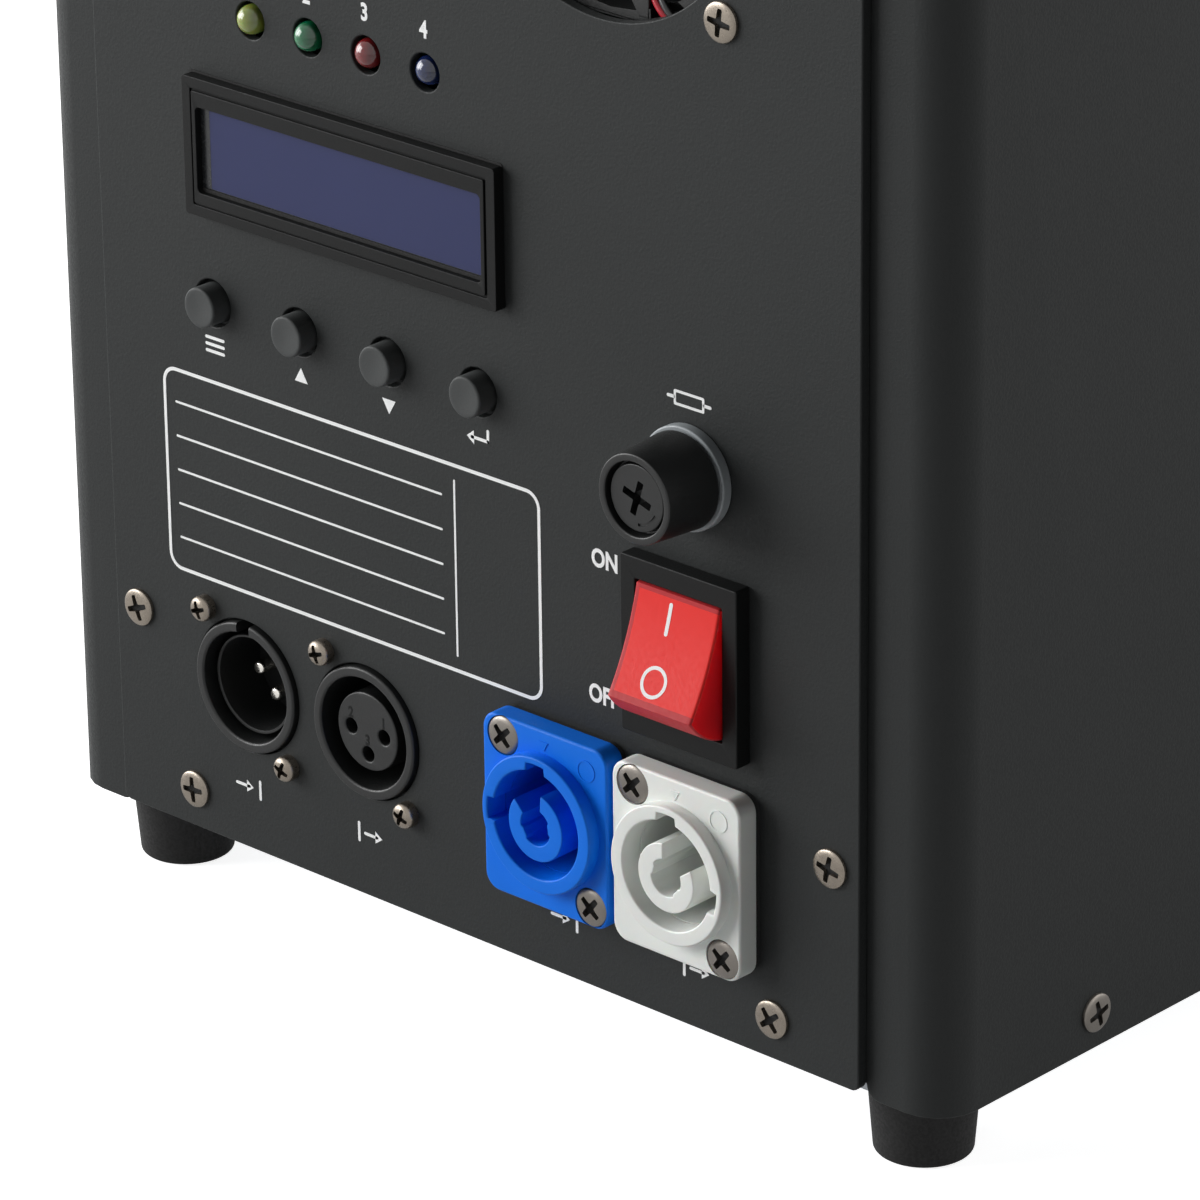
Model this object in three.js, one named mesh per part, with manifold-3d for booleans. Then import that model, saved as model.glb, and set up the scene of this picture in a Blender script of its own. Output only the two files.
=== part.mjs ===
// Cold spark machine: an upright rounded housing that blows glowing metal granules out of its top.
// Millimetres, +Z up. The origin is on the floor, under the middle of the bounding box.
// -Y is the side of the control panel, and +X is to the right of a person who faces that panel.

import * as THREE from 'three';
import { mergeVertices } from 'three/addons/utils/BufferGeometryUtils.js';
import Module from 'manifold-3d';

const wasm = await Module();
wasm.setup();

// Clearances and steps that every piece shares
const seat = 0.3; // between a piece and what carries it
const runningGap = 0.6; // between a wheel that turns and the wall round it
const overrun = 2; // a cutting solid runs this far past the face that it cuts
const mergeStep = 0.0001; // vertices nearer than this are one
const largeSides = 32;
const wideSides = 24;
const roundSides = 18;
const smallSides = 10;
const holeSides = 8;
const cornerSteps = 5;
const edgeSteps = 2; // round corner of a small outline
const quarterTurn = Math.PI / 2;
const fullTurn = Math.PI * 2;

// Housing
const housingWidth = 200;
const housingDepth = 200; // from the face of the control panel to the face of the front panel
const housingHeight = 235; // without the feet
const housingCornerRadius = 8;
const coverSheet = 1.5;
const panelSheet = 2;
const topSheet = 2;
const traySheet = 1.5;
const stripWidth = 16; // rounded strip of the cover that shows beside a panel
const lipReliefRadius = 2.5; // rounded lower corner of that lip
const panelMargin = 1.5; // panel edge to the underside and to the top of the housing
const panelCornerRadius = 1.5;
const flangeHeight = 12.5; // folded edges of the tray and of the top plate
const flangeSetback = 22; // end of a folded edge to the corner of the housing
const tabWidth = 8; // folded tabs of the top plate that the control panel's upper screws enter
const tabGap = 1; // tab to the fan

// Feet
const footHeight = 13.5;
const footTopRadius = 9.25;
const footBottomRadius = 8.15;
const footInset = 15.2; // foot centre to the outer faces of the housing
const footChamfer = 1;
const footRecessRadius = 3.4;
const footRecessDepth = 5;

// Screws and their places on the panels
const screwHeadRadius = 2.9;
const screwHeadHeight = 1.7;
const screwCrownHeight = 0.6; // rounded part of the head
const screwShankRadius = 1.4;
const screwShankLength = 6;
const screwHoleClearance = 0.4;
const screwSlotLength = 3.4;
const screwSlotWidth = 0.7;
const screwSlotDepth = 0.9;
const lipScrewInset = 5.8; // screw centre to the side edge of the panel
const lipScrewHeight = 37.6; // above the lower edge and below the upper edge of the panel
const flangeScrewHeight = 7.2;
const sideScrewDepth = 39.5; // screw centre to the face of the panel
const sideScrewHeight = 6.4; // above the underside and below the top of the housing

// Rows on the control panel: two upwards from the sockets, and four downwards from the upper edge
const socketRowHeight = 30.3; // above the lower edge of the panel
const switchRowGap = 4.5; // socket flanges to the frame of the switch
const fuseRowGap = 6.6; // frame of the switch to the flange of the fuse holder
const fanTopGap = 5.2; // upper edge of the panel to the fan
const fanRowGap = 7.3; // fan to the control board
const lampRowGap = 2.8; // flanges of the lamps to the board of the display
const displayRowGap = 4.8; // board of the display to the flanges of the buttons

// Places across the control panel. A share is of the width that the pieces of a row leave free.
const controlBoardShare = 0.1868; // left of the control board
const buttonPitch = 20.25;
const lampOffset = 11.1; // first lamp to the first button
const lampPitch = 13.1;
const displayOffset = 32; // middle of the display to the first button
const socketsLeftShare = 0.3165;
const socketsMiddleShare = 0.3266;
const signalPairGap = 2.1;
const mainsPairGap = 2.5;
const switchRightShare = 0.1583;
const fanRightShare = 0.213;

// Status lamps
const lampNames = ['power_lamp', 'signal_lamp', 'error_lamp', 'heat_lamp'];
const lampRadius = 2.5;
const lampFlangeRadius = 2.9;
const lampFlangeHeight = 1;
const lampLength = 8.6; // flange and dome together
const lampSpacerRadius = 2.6;
const lampHoleRadius = 3.2;
const lampRises = [2, 2, 1.4, 1]; // tip of each dome past the face of the panel
const lampLift = 0.15; // dome above the middle of its hole
const domeSteps = 3;

// Push buttons
const buttonNames = ['menu_button', 'up_button', 'down_button', 'enter_button'];
const buttonRadius = 3.5;
const buttonRise = 3.2;
const buttonTravel = 1;
const buttonHoleRadius = 4.15;
const buttonFlangeRadius = 5;
const buttonFlangeHeight = 1;
const buttonFlangeGap = 0.4;
const buttonStemRadius = 1.6;
const buttonChamfer = 0.4;
const buttonSides = 14;

// Display
const bezelWidth = 70.6;
const bezelHeight = 24;
const bezelRise = 2.3;
const bezelCornerRadius = 0.8;
const windowWidth = 64.4;
const windowHeight = 13.7;
const windowDrop = 0.95; // window centre below the bezel centre
const windowCornerRadius = 1;
const glassBorder = 0.8; // glass past the window on each side
const displayBoardWidth = 80;
const displayBoardHeight = 36;
const displayBoardSheet = 1.6;
const headerWidth = 40;
const headerHeight = 2.5;

// Control board behind the lamps and buttons
const controlBoardSetback = 12; // face of the panel to the face of the board
const controlBoardSheet = 1.6;
const controlBoardMargin = 10; // board past the outer lamps and buttons
const postRadius = 2.2;
const postInset = 3;
const tactWidth = 6;
const chipWidth = 14;
const chipHeight = 2.2;

// Rocker switch
const switchFrameWidth = 24.6;
const switchFrameHeight = 30.4;
const switchFrameRise = 3.2;
const switchFrameRadius = 1;
const switchBodyWidth = 21.4;
const switchBodyHeight = 27.4;
const switchBodyDepth = 22;
const switchWindowWidth = 18.4;
const switchWindowHeight = 23.1;
const switchWindowDepth = 13;
const switchTabWidth = 6.3;
const switchTabSheet = 0.8;
const switchTabLength = 9;
const pivotDepth = 2.75; // pivot behind the front of the frame
const rockerRadius = 11; // both ends are round about the pivot
const rockerTipAngle = 54 * Math.PI / 180; // from straight out to each tip, with the rocker level
const rockerBackAngle = 104 * Math.PI / 180;
const rockerHollow = 0.8; // dip in the middle of the face
const rockerTilt = 22 * Math.PI / 180; // each way from level
const rockerFaceSteps = 8;

// Fuse holder
const fuseFlangeRadius = 8.7;
const fuseFlangeRise = 2;
const fuseBarrelRadius = 6.6;
const fuseBoreRadius = 4.9;
const fuseRearWall = 4;
const fuseCapRadius = 7.9;
const fuseCapFrontRadius = 7.25;
const fuseCapLength = 11.1;
const fuseCapChamfer = 0.7;
const fuseDiscRadius = 6.1;
const fuseDiscDepth = 0.9;
const fuseSlotLength = 7.6;
const fuseSlotWidth = 1.7;
const fuseSlotDepth = 1.6;
const fuseStemLength = 10.5;
const fuseClipDepth = 7;
const cartridgeRadius = 2.6;
const cartridgeLength = 20;
const fuseTabLength = 8;

// Sockets for signal and mains
const flangeWidth = 26;
const flangeTall = 31;
const flangeCornerRadius = 3;
const signalFlangeSheet = 2;
const signalRingRise = 1;
const socketBodyRadius = 11.7;
const signalBoreRadius = 9.8;
const signalBodyDepth = 20; // behind the panel
const signalBoreDepth = 14; // behind the front of the ring
const signalKeyWidth = 3;
const signalKeyDepth = 1.1;
const contactRadius = 1.25;
const contactSpread = 3.8; // contact centres to the socket axis
const contactLength = 11;
const contactDisc = 2;
const insertRadius = 7.1;
const insertDrop = 2.4; // face of the insert behind the front of the ring
const contactHoleRadius = 1.65;
const contactHoleDepth = 5;
const mainsFlangeSheet = 4;
const mainsRingRise = 2.4;
const mainsRingRadius = 11.9;
const mainsBodyDepth = 22;
const mainsBoreRadius = 9.4;
const mainsBoreDepth = 22;
const mainsCoreRadius = 4.5;
const mainsCoreDrop = 1.6;
const mainsCoreBoreRadius = 2.1;
const mainsKeyWidth = 4;
const mainsKeyReach = 1.4;
const mainsInKeys = [90, 180]; // degrees round the opening
const mainsOutKeys = [90, 315];

// Fan
const fanSize = 60;
const fanThickness = 20;
const fanFrameRadius = 3;
const fanOpeningRadius = 30;
const fanBoreRadius = 28.6;
const fanScrewSpacing = 50;
const fanScrewHoleRadius = 2.1;
const fanPlateRadius = 13;
const fanPlateSheet = 2;
const fanStruts = 4;
const fanStrutWidth = 4;
const fanBossRadius = 4;
const fanBossLength = 3;
const rotorHubRadius = 12.6;
const rotorHubLength = 14;
const rotorBlades = 7;
const rotorBladeSheet = 1.3;
const rotorBladeChord = 13;
const rotorTipGap = 1;
const rotorPitch = 40 * Math.PI / 180;

// Outlet and heating tube
const outletFlangeRadius = 28;
const outletFlangeSheet = 2;
const outletMouthRadius = 19;
const outletCollarRadius = 20;
const outletCollarDepth = 16.5; // below the top of the housing
const outletThroat = 2.3; // straight throat above the tube
const outletConeDepth = 6;
const tubeRadius = 14;
const tubeWall = 1.5;
const sleeveWall = 2.4;
const sleeveLength = 62;
const sleeveRise = 3; // sleeve above the mixing block
const coilWireRadius = 3;
const coilGap = 1.2; // between the sleeve and the winding
const coilPitch = 9;
const coilTurns = 5.5;
const coilRise = 9; // first lead above the mixing block
const coilLeadReach = 62;
const coilStepsPerTurn = 14;
const coilSides = 6;
const leadSteps = 4;

// Mixing block under the tube
const mixingHeight = 45;
const mixingHalfWidth = 18;
const mixingBack = 26; // tube axis to the rear face that the chute enters
const mixingBoreRadius = 11;
const tubeSeatDepth = 8;
const chuteTargetHeight = 22; // chute axis meets the bore wall, above the underside of the block

// Blower
const blowerRadius = 31;
const blowerThickness = 32;
const blowerWall = 1.8;
const blowerDuctWidth = 26;
const blowerDuctRise = 33.4; // outlet above the scroll centre
const blowerInletRadius = 17;
const blowerFootSheet = 2;
const impellerRadius = 25;
const impellerInnerRadius = 18.5;
const impellerHubRadius = 11.5;
const impellerPlate = 1.5;
const impellerVanes = 12;
const impellerVaneSheet = 1;
const impellerRing = 1.5;
const statorRadius = 8.5;
const statorLength = 6;
const blowerShaftRadius = 2;
const blowerShaftLength = 12;
const impellerLength = 19;

// Hopper and its lid
const hopperGap = 7.1; // hopper to the winding round the tube
const hopperMargin = 6; // hopper flange to the inner face of the front panel
const hopperRadius = 29;
const hopperWall = 1.5;
const hopperFlange = 3; // flange past the hopper
const hopperStraight = 70;
const hopperConeHeight = 22;
const hopperNeckRadius = 12.5;
const hopperNeckLength = 8;
const fillHoleInset = 5; // edge of the fill hole inside the hopper
const sealWidth = 2.2;
const sealSheet = 1.2;
const lidOverlap = 3.5; // lid past the fill hole
const lidSheet = 2.5;
const lidSkirtWall = 1.2;
const lidSkirtGap = 0.4; // skirt above the top plate
const knobRadius = 6.5;
const knobWaist = 4.5;
const knobHeight = 8;
const hingeClear = 3.5; // hinge axis to the lid
const hingeRise = 3; // hinge axis above the top plate
const knuckleRadius = 2.6;
const knuckleLength = 12;
const pinRadius = 1.5;
const pinHeadRadius = 2.4;
const pinHeadLength = 1.2;
const earSheet = 2.7;
const earRadius = 2.8;
const hingeBaseSheet = 1.5;
const hingeBaseReach = 6; // hinge axis to the rear edge of the hinge base
const hingeBaseClear = 2.6; // hinge axis to the front edge of the hinge base

// Feed
const neckSeatDepth = 4;
const chamberDepth = 10; // hopper neck to the chamber floor
const feedFloor = 10;
const feedHalfWidth = 20;
const feedFront = 30; // hopper axis to the face above the chute
const feedBack = 18;
const wheelRadius = 11.5;
const wheelThickness = 6;
const wheelPockets = 6;
const wheelPocketRadius = 2.4;
const wheelPocketSpread = 7.6;
const motorShaftRadius = 2.5;
const motorShaftTip = 0.5; // shaft short of the top of the wheel
const motorRadius = 12.5;
const motorLength = 50;
const gearboxLength = 19;
const gearboxGroove = 0.8;
const motorBossRadius = 4;
const bracketSheet = 2;
const bracketHalfWidth = 20;
const bracketBack = 22; // hopper axis to the upright
const bracketFoot = 16;
const chuteRadius = 5;
const chuteWall = 1;
const chuteExit = 8; // chute axis leaves the chamber floor this far before the hopper axis
const chuteFloorGap = 6; // along the axis, chamber floor to the tube
const chuteEntry = 9; // along Y, tube past the rear face of the mixing block

// Side boards
const boardStandoff = 6;
const boardSheet = 1.6;
const boardBottom = 56.5; // above the underside of the housing
const boardTopGap = 2; // board to the pocket handle
const powerBoardHalfDepth = 58;
const heaterBoardFront = -50;
const heaterBoardBack = 60;
const transformerWidth = 34;
const transformerDepth = 26;
const capacitorRadius = 9;
const capacitorLength = 24;
const capacitorGap = 2;
const heatSinkSheet = 3;
const heatSinkReach = 22;
const terminalWidth = 10;

// Pocket handles in the side covers
const gripWidth = 86;
const gripHeight = 27;
const gripRadius = 9;
const gripDepth = 22; // cover face to the floor of the pocket
const gripWall = 1.5;
const gripDrop = 36.5; // grip centre below the top of the housing
const gripFlangeMargin = 6.5;

// Ventilation slots
const slotWidth = 3;
const slotLength = 34;
const slotPitch = 8;
const panelSlots = 9;
const panelSlotHeight = 40; // middle of the slots above the lower edge of the front panel
const traySlots = 5;
const slotSteps = 2;

// Levels and faces that follow from the sizes above
const halfWidth = housingWidth / 2;
const halfDepth = housingDepth / 2;
const coverHalfDepth = halfDepth - panelSheet;
const underside = footHeight;
const housingTop = footHeight + housingHeight;
const coverTop = housingTop - topSheet;
const panelBottom = underside + panelMargin;
const panelTop = housingTop - panelMargin;
const panelHalfWidth = halfWidth - stripWidth;
const panelFace = -halfDepth;
const panelRear = panelFace + panelSheet;
const trayTop = underside + traySheet;
const innerHalfWidth = halfWidth - coverSheet;
const innerHalfDepth = coverHalfDepth - coverSheet;
const flangeHalfWidth = innerHalfWidth - seat;
const flangeHalfDepth = innerHalfDepth - seat;
const sleeveRadius = tubeRadius + seat + sleeveWall;
const coilRadius = sleeveRadius + coilGap + coilWireRadius;
const hopperSetback = coilRadius + coilWireRadius + hopperGap + hopperRadius; // behind the tube axis
const hopperFlangeRadius = hopperRadius + hopperFlange;
const tubeSetback = hopperSetback + hopperFlangeRadius + hopperMargin; // tube axis to the front panel
const fillHoleRadius = hopperRadius - fillHoleInset;
const lidRadius = fillHoleRadius + lidOverlap;
const hingeSetback = lidRadius + hingeClear;
const hopperTop = coverTop - seat;
const neckBottom = hopperTop - hopperStraight - hopperConeHeight - hopperNeckLength;
const chamberFloor = neckBottom - chamberDepth;
const feedBottom = chamberFloor - feedFloor;
const shelfTop = feedBottom - seat;
const shelfBottom = shelfTop - bracketSheet;
const blowerHeight = trayTop + seat + blowerRadius;
const blowerAcross = blowerDuctWidth / 2 - blowerRadius;
const blowerTop = blowerHeight + blowerDuctRise;
const mixingBottom = blowerTop + seat;
const mixingTop = mixingBottom + mixingHeight;
const collarBottom = housingTop - outletCollarDepth;
const tubeTop = housingTop - outletConeDepth - outletThroat - seat;
const tubeBottom = mixingTop - tubeSeatDepth + seat;
const switchFront = panelFace - switchFrameRise;
const tubeDepth = coverHalfDepth - tubeSetback;
const fuseFront = panelFace - fuseFlangeRise - seat - fuseCapLength;
const frontReach = panelFace - fuseFront; // how far the fuse cap stands out of the panel
const fuseStemEnd = fuseFront + fuseCapLength + fuseStemLength;
const cartridgeFront = fuseStemEnd - fuseClipDepth + seat;
const fuseBarrelEnd = cartridgeFront + cartridgeLength + seat + fuseRearWall;
const screwHoleRadius = screwShankRadius + screwHoleClearance;
const switchHeight = socketRowHeight + flangeTall / 2 + switchRowGap + switchFrameHeight / 2;
const fuseHeight = switchHeight + switchFrameHeight / 2 + fuseRowGap + fuseFlangeRadius;
const fanHeight = panelTop - panelBottom - fanTopGap - fanSize / 2;
const lampRowHeight = fanHeight - fanSize / 2 - fanRowGap - controlBoardMargin;
const displayHeight = lampRowHeight - lampFlangeRadius - lampRowGap - displayBoardHeight / 2;
const buttonRowHeight = displayHeight - displayBoardHeight / 2 - displayRowGap - buttonFlangeRadius;
const controlBoardWidth = (buttonNames.length - 1) * buttonPitch + 2 * controlBoardMargin;
const controlBoardInset = controlBoardShare * (2 * panelHalfWidth - controlBoardWidth);
const firstButtonAcross = controlBoardInset + controlBoardMargin - panelHalfWidth;
const firstLampAcross = firstButtonAcross + lampOffset;
const displayAcross = firstButtonAcross + displayOffset;
const freeOfSockets = 2 * panelHalfWidth - 4 * flangeWidth - signalPairGap - mainsPairGap;
const socketsInset = socketsLeftShare * freeOfSockets;
const signalInAcross = socketsInset + flangeWidth / 2 - panelHalfWidth;
const signalOutAcross = signalInAcross + flangeWidth + signalPairGap;
const mainsInAcross = signalOutAcross + flangeWidth + socketsMiddleShare * freeOfSockets;
const mainsOutAcross = mainsInAcross + flangeWidth + mainsPairGap;
const switchInset = switchRightShare * (2 * panelHalfWidth - switchFrameWidth);
const switchAcross = panelHalfWidth - switchInset - switchFrameWidth / 2;
const fuseAcross = switchAcross;
const fanInset = fanRightShare * (2 * panelHalfWidth - fanSize);
const fanAcross = panelHalfWidth - fanInset - fanSize / 2;
const flangeScrewInset = fanInset - tabWidth / 2 - tabGap;
const lipWidth = Math.min(controlBoardInset, socketsInset) - seat; // cover that runs on behind the panel
const gripCentre = housingTop - gripDrop;
const boardTop = gripCentre - gripHeight / 2 - gripFlangeMargin - boardTopGap;
const hingeDepth = hopperSetback + hingeSetback;
const hingeHeight = housingTop + hingeRise;

// Outlines, as lists of points

function arc(x, y, radius, from, to, steps) {
  const points = [];
  for (let i = 0; i <= steps; i += 1) {
    const angle = from + (to - from) * i / steps;
    points.push(new THREE.Vector2(x + radius * Math.cos(angle), y + radius * Math.sin(angle)));
  }
  return points;
}

function circle(x, y, radius, sides = smallSides) {
  return arc(x, y, radius, 0, fullTurn * (sides - 1) / sides, sides - 1);
}

function roundedRectangle(x, y, width, height, radius, steps = cornerSteps) {
  const reachX = width / 2 - radius;
  const reachY = height / 2 - radius;
  return [
    ...arc(x + reachX, y + reachY, radius, 0, quarterTurn, steps),
    ...arc(x - reachX, y + reachY, radius, quarterTurn, 2 * quarterTurn, steps),
    ...arc(x - reachX, y - reachY, radius, 2 * quarterTurn, 3 * quarterTurn, steps),
    ...arc(x + reachX, y - reachY, radius, 3 * quarterTurn, fullTurn, steps),
  ];
}

// Solids

function solidOf(geometry) {
  const bare = geometry.clone();
  bare.deleteAttribute('normal');
  bare.deleteAttribute('uv');
  const merged = mergeVertices(bare, mergeStep);
  const places = merged.attributes.position.array;
  const corners = merged.index.array;
  const kept = [];
  let volume = 0;
  for (let i = 0; i < corners.length; i += 3) {
    const [a, b, c] = [corners[i], corners[i + 1], corners[i + 2]];
    if (a === b || b === c || c === a) {
      continue;
    }
    kept.push([a, b, c]);
    const [p, q, r] = [a, b, c].map((corner) => new THREE.Vector3().fromArray(places, corner * 3));
    volume += p.dot(q.cross(r));
  }
  const triVerts = new Uint32Array(kept.flatMap(([a, b, c]) => (volume < 0 ? [a, c, b] : [a, b, c])));
  const vertProperties = new Float32Array(places);
  return new wasm.Manifold(new wasm.Mesh({ numProp: 3, vertProperties, triVerts }));
}

function extruded(points, holes, depth) {
  const shape = new THREE.Shape(points);
  shape.holes = holes.map((hole) => new THREE.Path(hole));
  return new THREE.ExtrudeGeometry(shape, { depth, bevelEnabled: false, curveSegments: 1 });
}

// An outline in X and Y that rises from one height to another
function upright(points, holes, low, high) {
  return solidOf(extruded(points, holes, high - low).translate(0, 0, low));
}

// An outline in X and Z that runs from a front face to a rear face
function facing(points, holes, front, rear) {
  return solidOf(extruded(points, holes, rear - front).rotateX(quarterTurn).translate(0, rear, 0));
}

// An outline in Y and Z that runs across from left to right
function across(points, holes, left, right) {
  const turn = new THREE.Matrix4().set(0, 0, 1, 0, 1, 0, 0, 0, 0, 1, 0, 0, 0, 0, 0, 1);
  return solidOf(extruded(points, holes, right - left).applyMatrix4(turn).translate(left, 0, 0));
}

function block(left, right, front, rear, low, high) {
  const box = new THREE.BoxGeometry(right - left, rear - front, high - low);
  return solidOf(box.translate((left + right) / 2, (front + rear) / 2, (low + high) / 2));
}

function rodX(y, z, radius, left, right, sides = smallSides) {
  const rod = new THREE.CylinderGeometry(radius, radius, right - left, sides);
  return solidOf(rod.rotateZ(-quarterTurn).translate((left + right) / 2, y, z));
}

function rodY(x, z, radius, front, rear, sides = smallSides) {
  const rod = new THREE.CylinderGeometry(radius, radius, rear - front, sides);
  return solidOf(rod.translate(x, (front + rear) / 2, z));
}

function rodZ(x, y, radius, low, high, sides = smallSides) {
  const rod = new THREE.CylinderGeometry(radius, radius, high - low, sides);
  return solidOf(rod.rotateX(quarterTurn).translate(x, y, (low + high) / 2));
}

function lathe(profile, sides) {
  return new THREE.LatheGeometry(profile.map(([radius, place]) => new THREE.Vector2(radius, place)), sides);
}

// A profile of radius and Y, turned about an axis along Y
function turnedY(profile, x, z, sides = roundSides) {
  return solidOf(lathe(profile, sides).translate(x, 0, z));
}

// A profile of radius and Z, turned about an axis along Z
function turnedZ(profile, x, y, sides = roundSides) {
  return solidOf(lathe(profile, sides).rotateX(quarterTurn).translate(x, y, 0));
}

function join(parts) {
  return parts.reduce((whole, part) => whole.add(part));
}

function cut(body, tools) {
  return tools.reduce((left, tool) => left.subtract(tool), body);
}

function geometryOf(body) {
  const { vertProperties, triVerts } = body.getMesh();
  const geometry = new THREE.BufferGeometry();
  geometry.setAttribute('position', new THREE.BufferAttribute(new Float32Array(vertProperties), 3));
  geometry.setIndex(new THREE.BufferAttribute(new Uint32Array(triVerts), 1));
  geometry.computeVertexNormals();
  return geometry;
}

// Materials

function finish(color, roughness, metalness) {
  return new THREE.MeshStandardMaterial({ color, roughness, metalness });
}

const paintedSteel = finish('#303131', 0.6, 0.2);
const blackPlastic = finish('#161616', 0.5, 0);
const blackRubber = finish('#1d1d1d', 0.85, 0);
const bluePlastic = finish('#0a56d8', 0.4, 0);
const whitePlastic = finish('#e6e8e2', 0.4, 0);
const redPlastic = finish('#e23a32', 0.25, 0);
const displayGlass = finish('#3c415b', 0.15, 0);
const nickel = finish('#b8b3a8', 0.3, 1);
const bareSteel = finish('#9b9c9c', 0.35, 1);
const aluminium = finish('#a9abac', 0.4, 1);
const copper = finish('#b4703c', 0.35, 1);
const ceramic = finish('#d8d4c8', 0.7, 0);
const circuitBoard = finish('#1f5a36', 0.5, 0);
const clearGlass = finish('#cfd8d8', 0.1, 0);
const siliconeRed = finish('#8e3a30', 0.7, 0);
const lampColours = ['#8a9a2e', '#1f7a4a', '#7a1f24', '#1c2f6e'];

// Housing

// Outline of one side cover: the flat side, both rounded corners and the lips behind the panels
function coverOutline(side) {
  const lipEnd = panelHalfWidth - lipWidth;
  const arcX = halfWidth - housingCornerRadius;
  const arcY = coverHalfDepth - housingCornerRadius;
  const innerRadius = housingCornerRadius - coverSheet;
  const points = [
    new THREE.Vector2(lipEnd, -coverHalfDepth),
    ...arc(arcX, -arcY, housingCornerRadius, -quarterTurn, 0, cornerSteps),
    ...arc(arcX, arcY, housingCornerRadius, 0, quarterTurn, cornerSteps),
    new THREE.Vector2(lipEnd, coverHalfDepth),
    new THREE.Vector2(lipEnd, coverHalfDepth - coverSheet),
    ...arc(arcX, arcY, innerRadius, quarterTurn, 0, cornerSteps),
    ...arc(arcX, -arcY, innerRadius, 0, -quarterTurn, cornerSteps),
    new THREE.Vector2(lipEnd, -coverHalfDepth + coverSheet),
  ];
  return points.map((point) => new THREE.Vector2(side * point.x, point.y));
}

// The lower corner of both lips is cut up and rounded
function lipRelief(side) {
  const lipEnd = panelHalfWidth - lipWidth;
  const corner = panelHalfWidth + lipReliefRadius;
  const reliefTop = underside + lipReliefRadius;
  const points = [
    new THREE.Vector2(lipEnd - overrun, underside - overrun),
    new THREE.Vector2(corner, underside - overrun),
    ...arc(corner, reliefTop, lipReliefRadius, -quarterTurn, -2 * quarterTurn, cornerSteps),
    new THREE.Vector2(lipEnd - overrun, reliefTop),
  ];
  const mirrored = points.map((point) => new THREE.Vector2(side * point.x, point.y));
  return facing(mirrored, [], -halfDepth - overrun, halfDepth + overrun);
}

function sideScrewPlaces() {
  const depths = [panelFace + sideScrewDepth, -panelFace - sideScrewDepth];
  const heights = [underside + sideScrewHeight, housingTop - sideScrewHeight];
  return depths.flatMap((depth) => heights.map((height) => [depth, height]));
}

function lipScrewHeights() {
  return [panelBottom + lipScrewHeight, panelTop - lipScrewHeight];
}

function flangeScrewHeights() {
  return [panelBottom + flangeScrewHeight, panelTop - flangeScrewHeight];
}

function sideCover(side) {
  const shell = upright(coverOutline(side), [], underside, coverTop);
  const [near, far] = [side * (innerHalfWidth - overrun), side * (halfWidth + overrun)];
  const [left, right] = [Math.min(near, far), Math.max(near, far)];
  const grip = roundedRectangle(0, gripCentre, gripWidth, gripHeight, gripRadius);
  const lipScrew = side * (panelHalfWidth - lipScrewInset);
  return cut(shell, [
    lipRelief(side),
    across(grip, [], left, right),
    ...sideScrewPlaces().map(([depth, height]) => (
      rodX(depth, height, screwHoleRadius, left, right, holeSides)
    )),
    ...lipScrewHeights().map((height) => (
      rodY(lipScrew, height, screwHoleRadius, -halfDepth - overrun, halfDepth + overrun, holeSides)
    )),
  ]);
}

function plateOutline(halfX, halfY, radius) {
  return roundedRectangle(0, 0, 2 * halfX, 2 * halfY, radius);
}

// Folded edges along both sides, and along the panels where asked
function foldedEdges(low, high, front, rear) {
  const endY = halfDepth - flangeSetback;
  const endX = halfWidth - flangeSetback;
  const edges = [-1, 1].map((side) => {
    const outer = side * flangeHalfWidth;
    const inner = outer - side * traySheet;
    return block(Math.min(outer, inner), Math.max(outer, inner), -endY, endY, low, high);
  });
  if (front) {
    edges.push(block(-endX, endX, -flangeHalfDepth, -flangeHalfDepth + traySheet, low, high));
  }
  if (rear) {
    edges.push(block(-endX, endX, flangeHalfDepth - traySheet, flangeHalfDepth, low, high));
  }
  return edges;
}

function edgeScrewHoles(height, sideHeight) {
  const flangeScrew = panelHalfWidth - flangeScrewInset;
  const frontRods = [-flangeScrew, flangeScrew].map((x) => (
    rodY(x, height, screwHoleRadius, -halfDepth - overrun, halfDepth + overrun, holeSides)
  ));
  const depth = halfDepth - sideScrewDepth;
  const sideRods = [-depth, depth].map((y) => (
    rodX(y, sideHeight, screwHoleRadius, -halfWidth - overrun, halfWidth + overrun, holeSides)
  ));
  return [...frontRods, ...sideRods];
}

function baseTray() {
  const cornerRadius = housingCornerRadius - coverSheet - seat;
  const outline = plateOutline(flangeHalfWidth, flangeHalfDepth, cornerRadius);
  const floor = upright(outline, [], underside, trayTop);
  const low = underside + traySheet / 2;
  const tray = join([floor, ...foldedEdges(low, trayTop + flangeHeight, true, true)]);
  const slots = [];
  for (let i = 0; i < traySlots; i += 1) {
    const y = (i - (traySlots - 1) / 2) * slotPitch;
    const outline = roundedRectangle(halfWidth / 2, y, slotLength, slotWidth, slotWidth / 2, slotSteps);
    slots.push(upright(outline, [], underside - overrun, trayTop + overrun));
  }
  const holes = edgeScrewHoles(flangeScrewHeights()[0], underside + sideScrewHeight);
  return cut(tray, [...slots, ...holes]);
}

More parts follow.
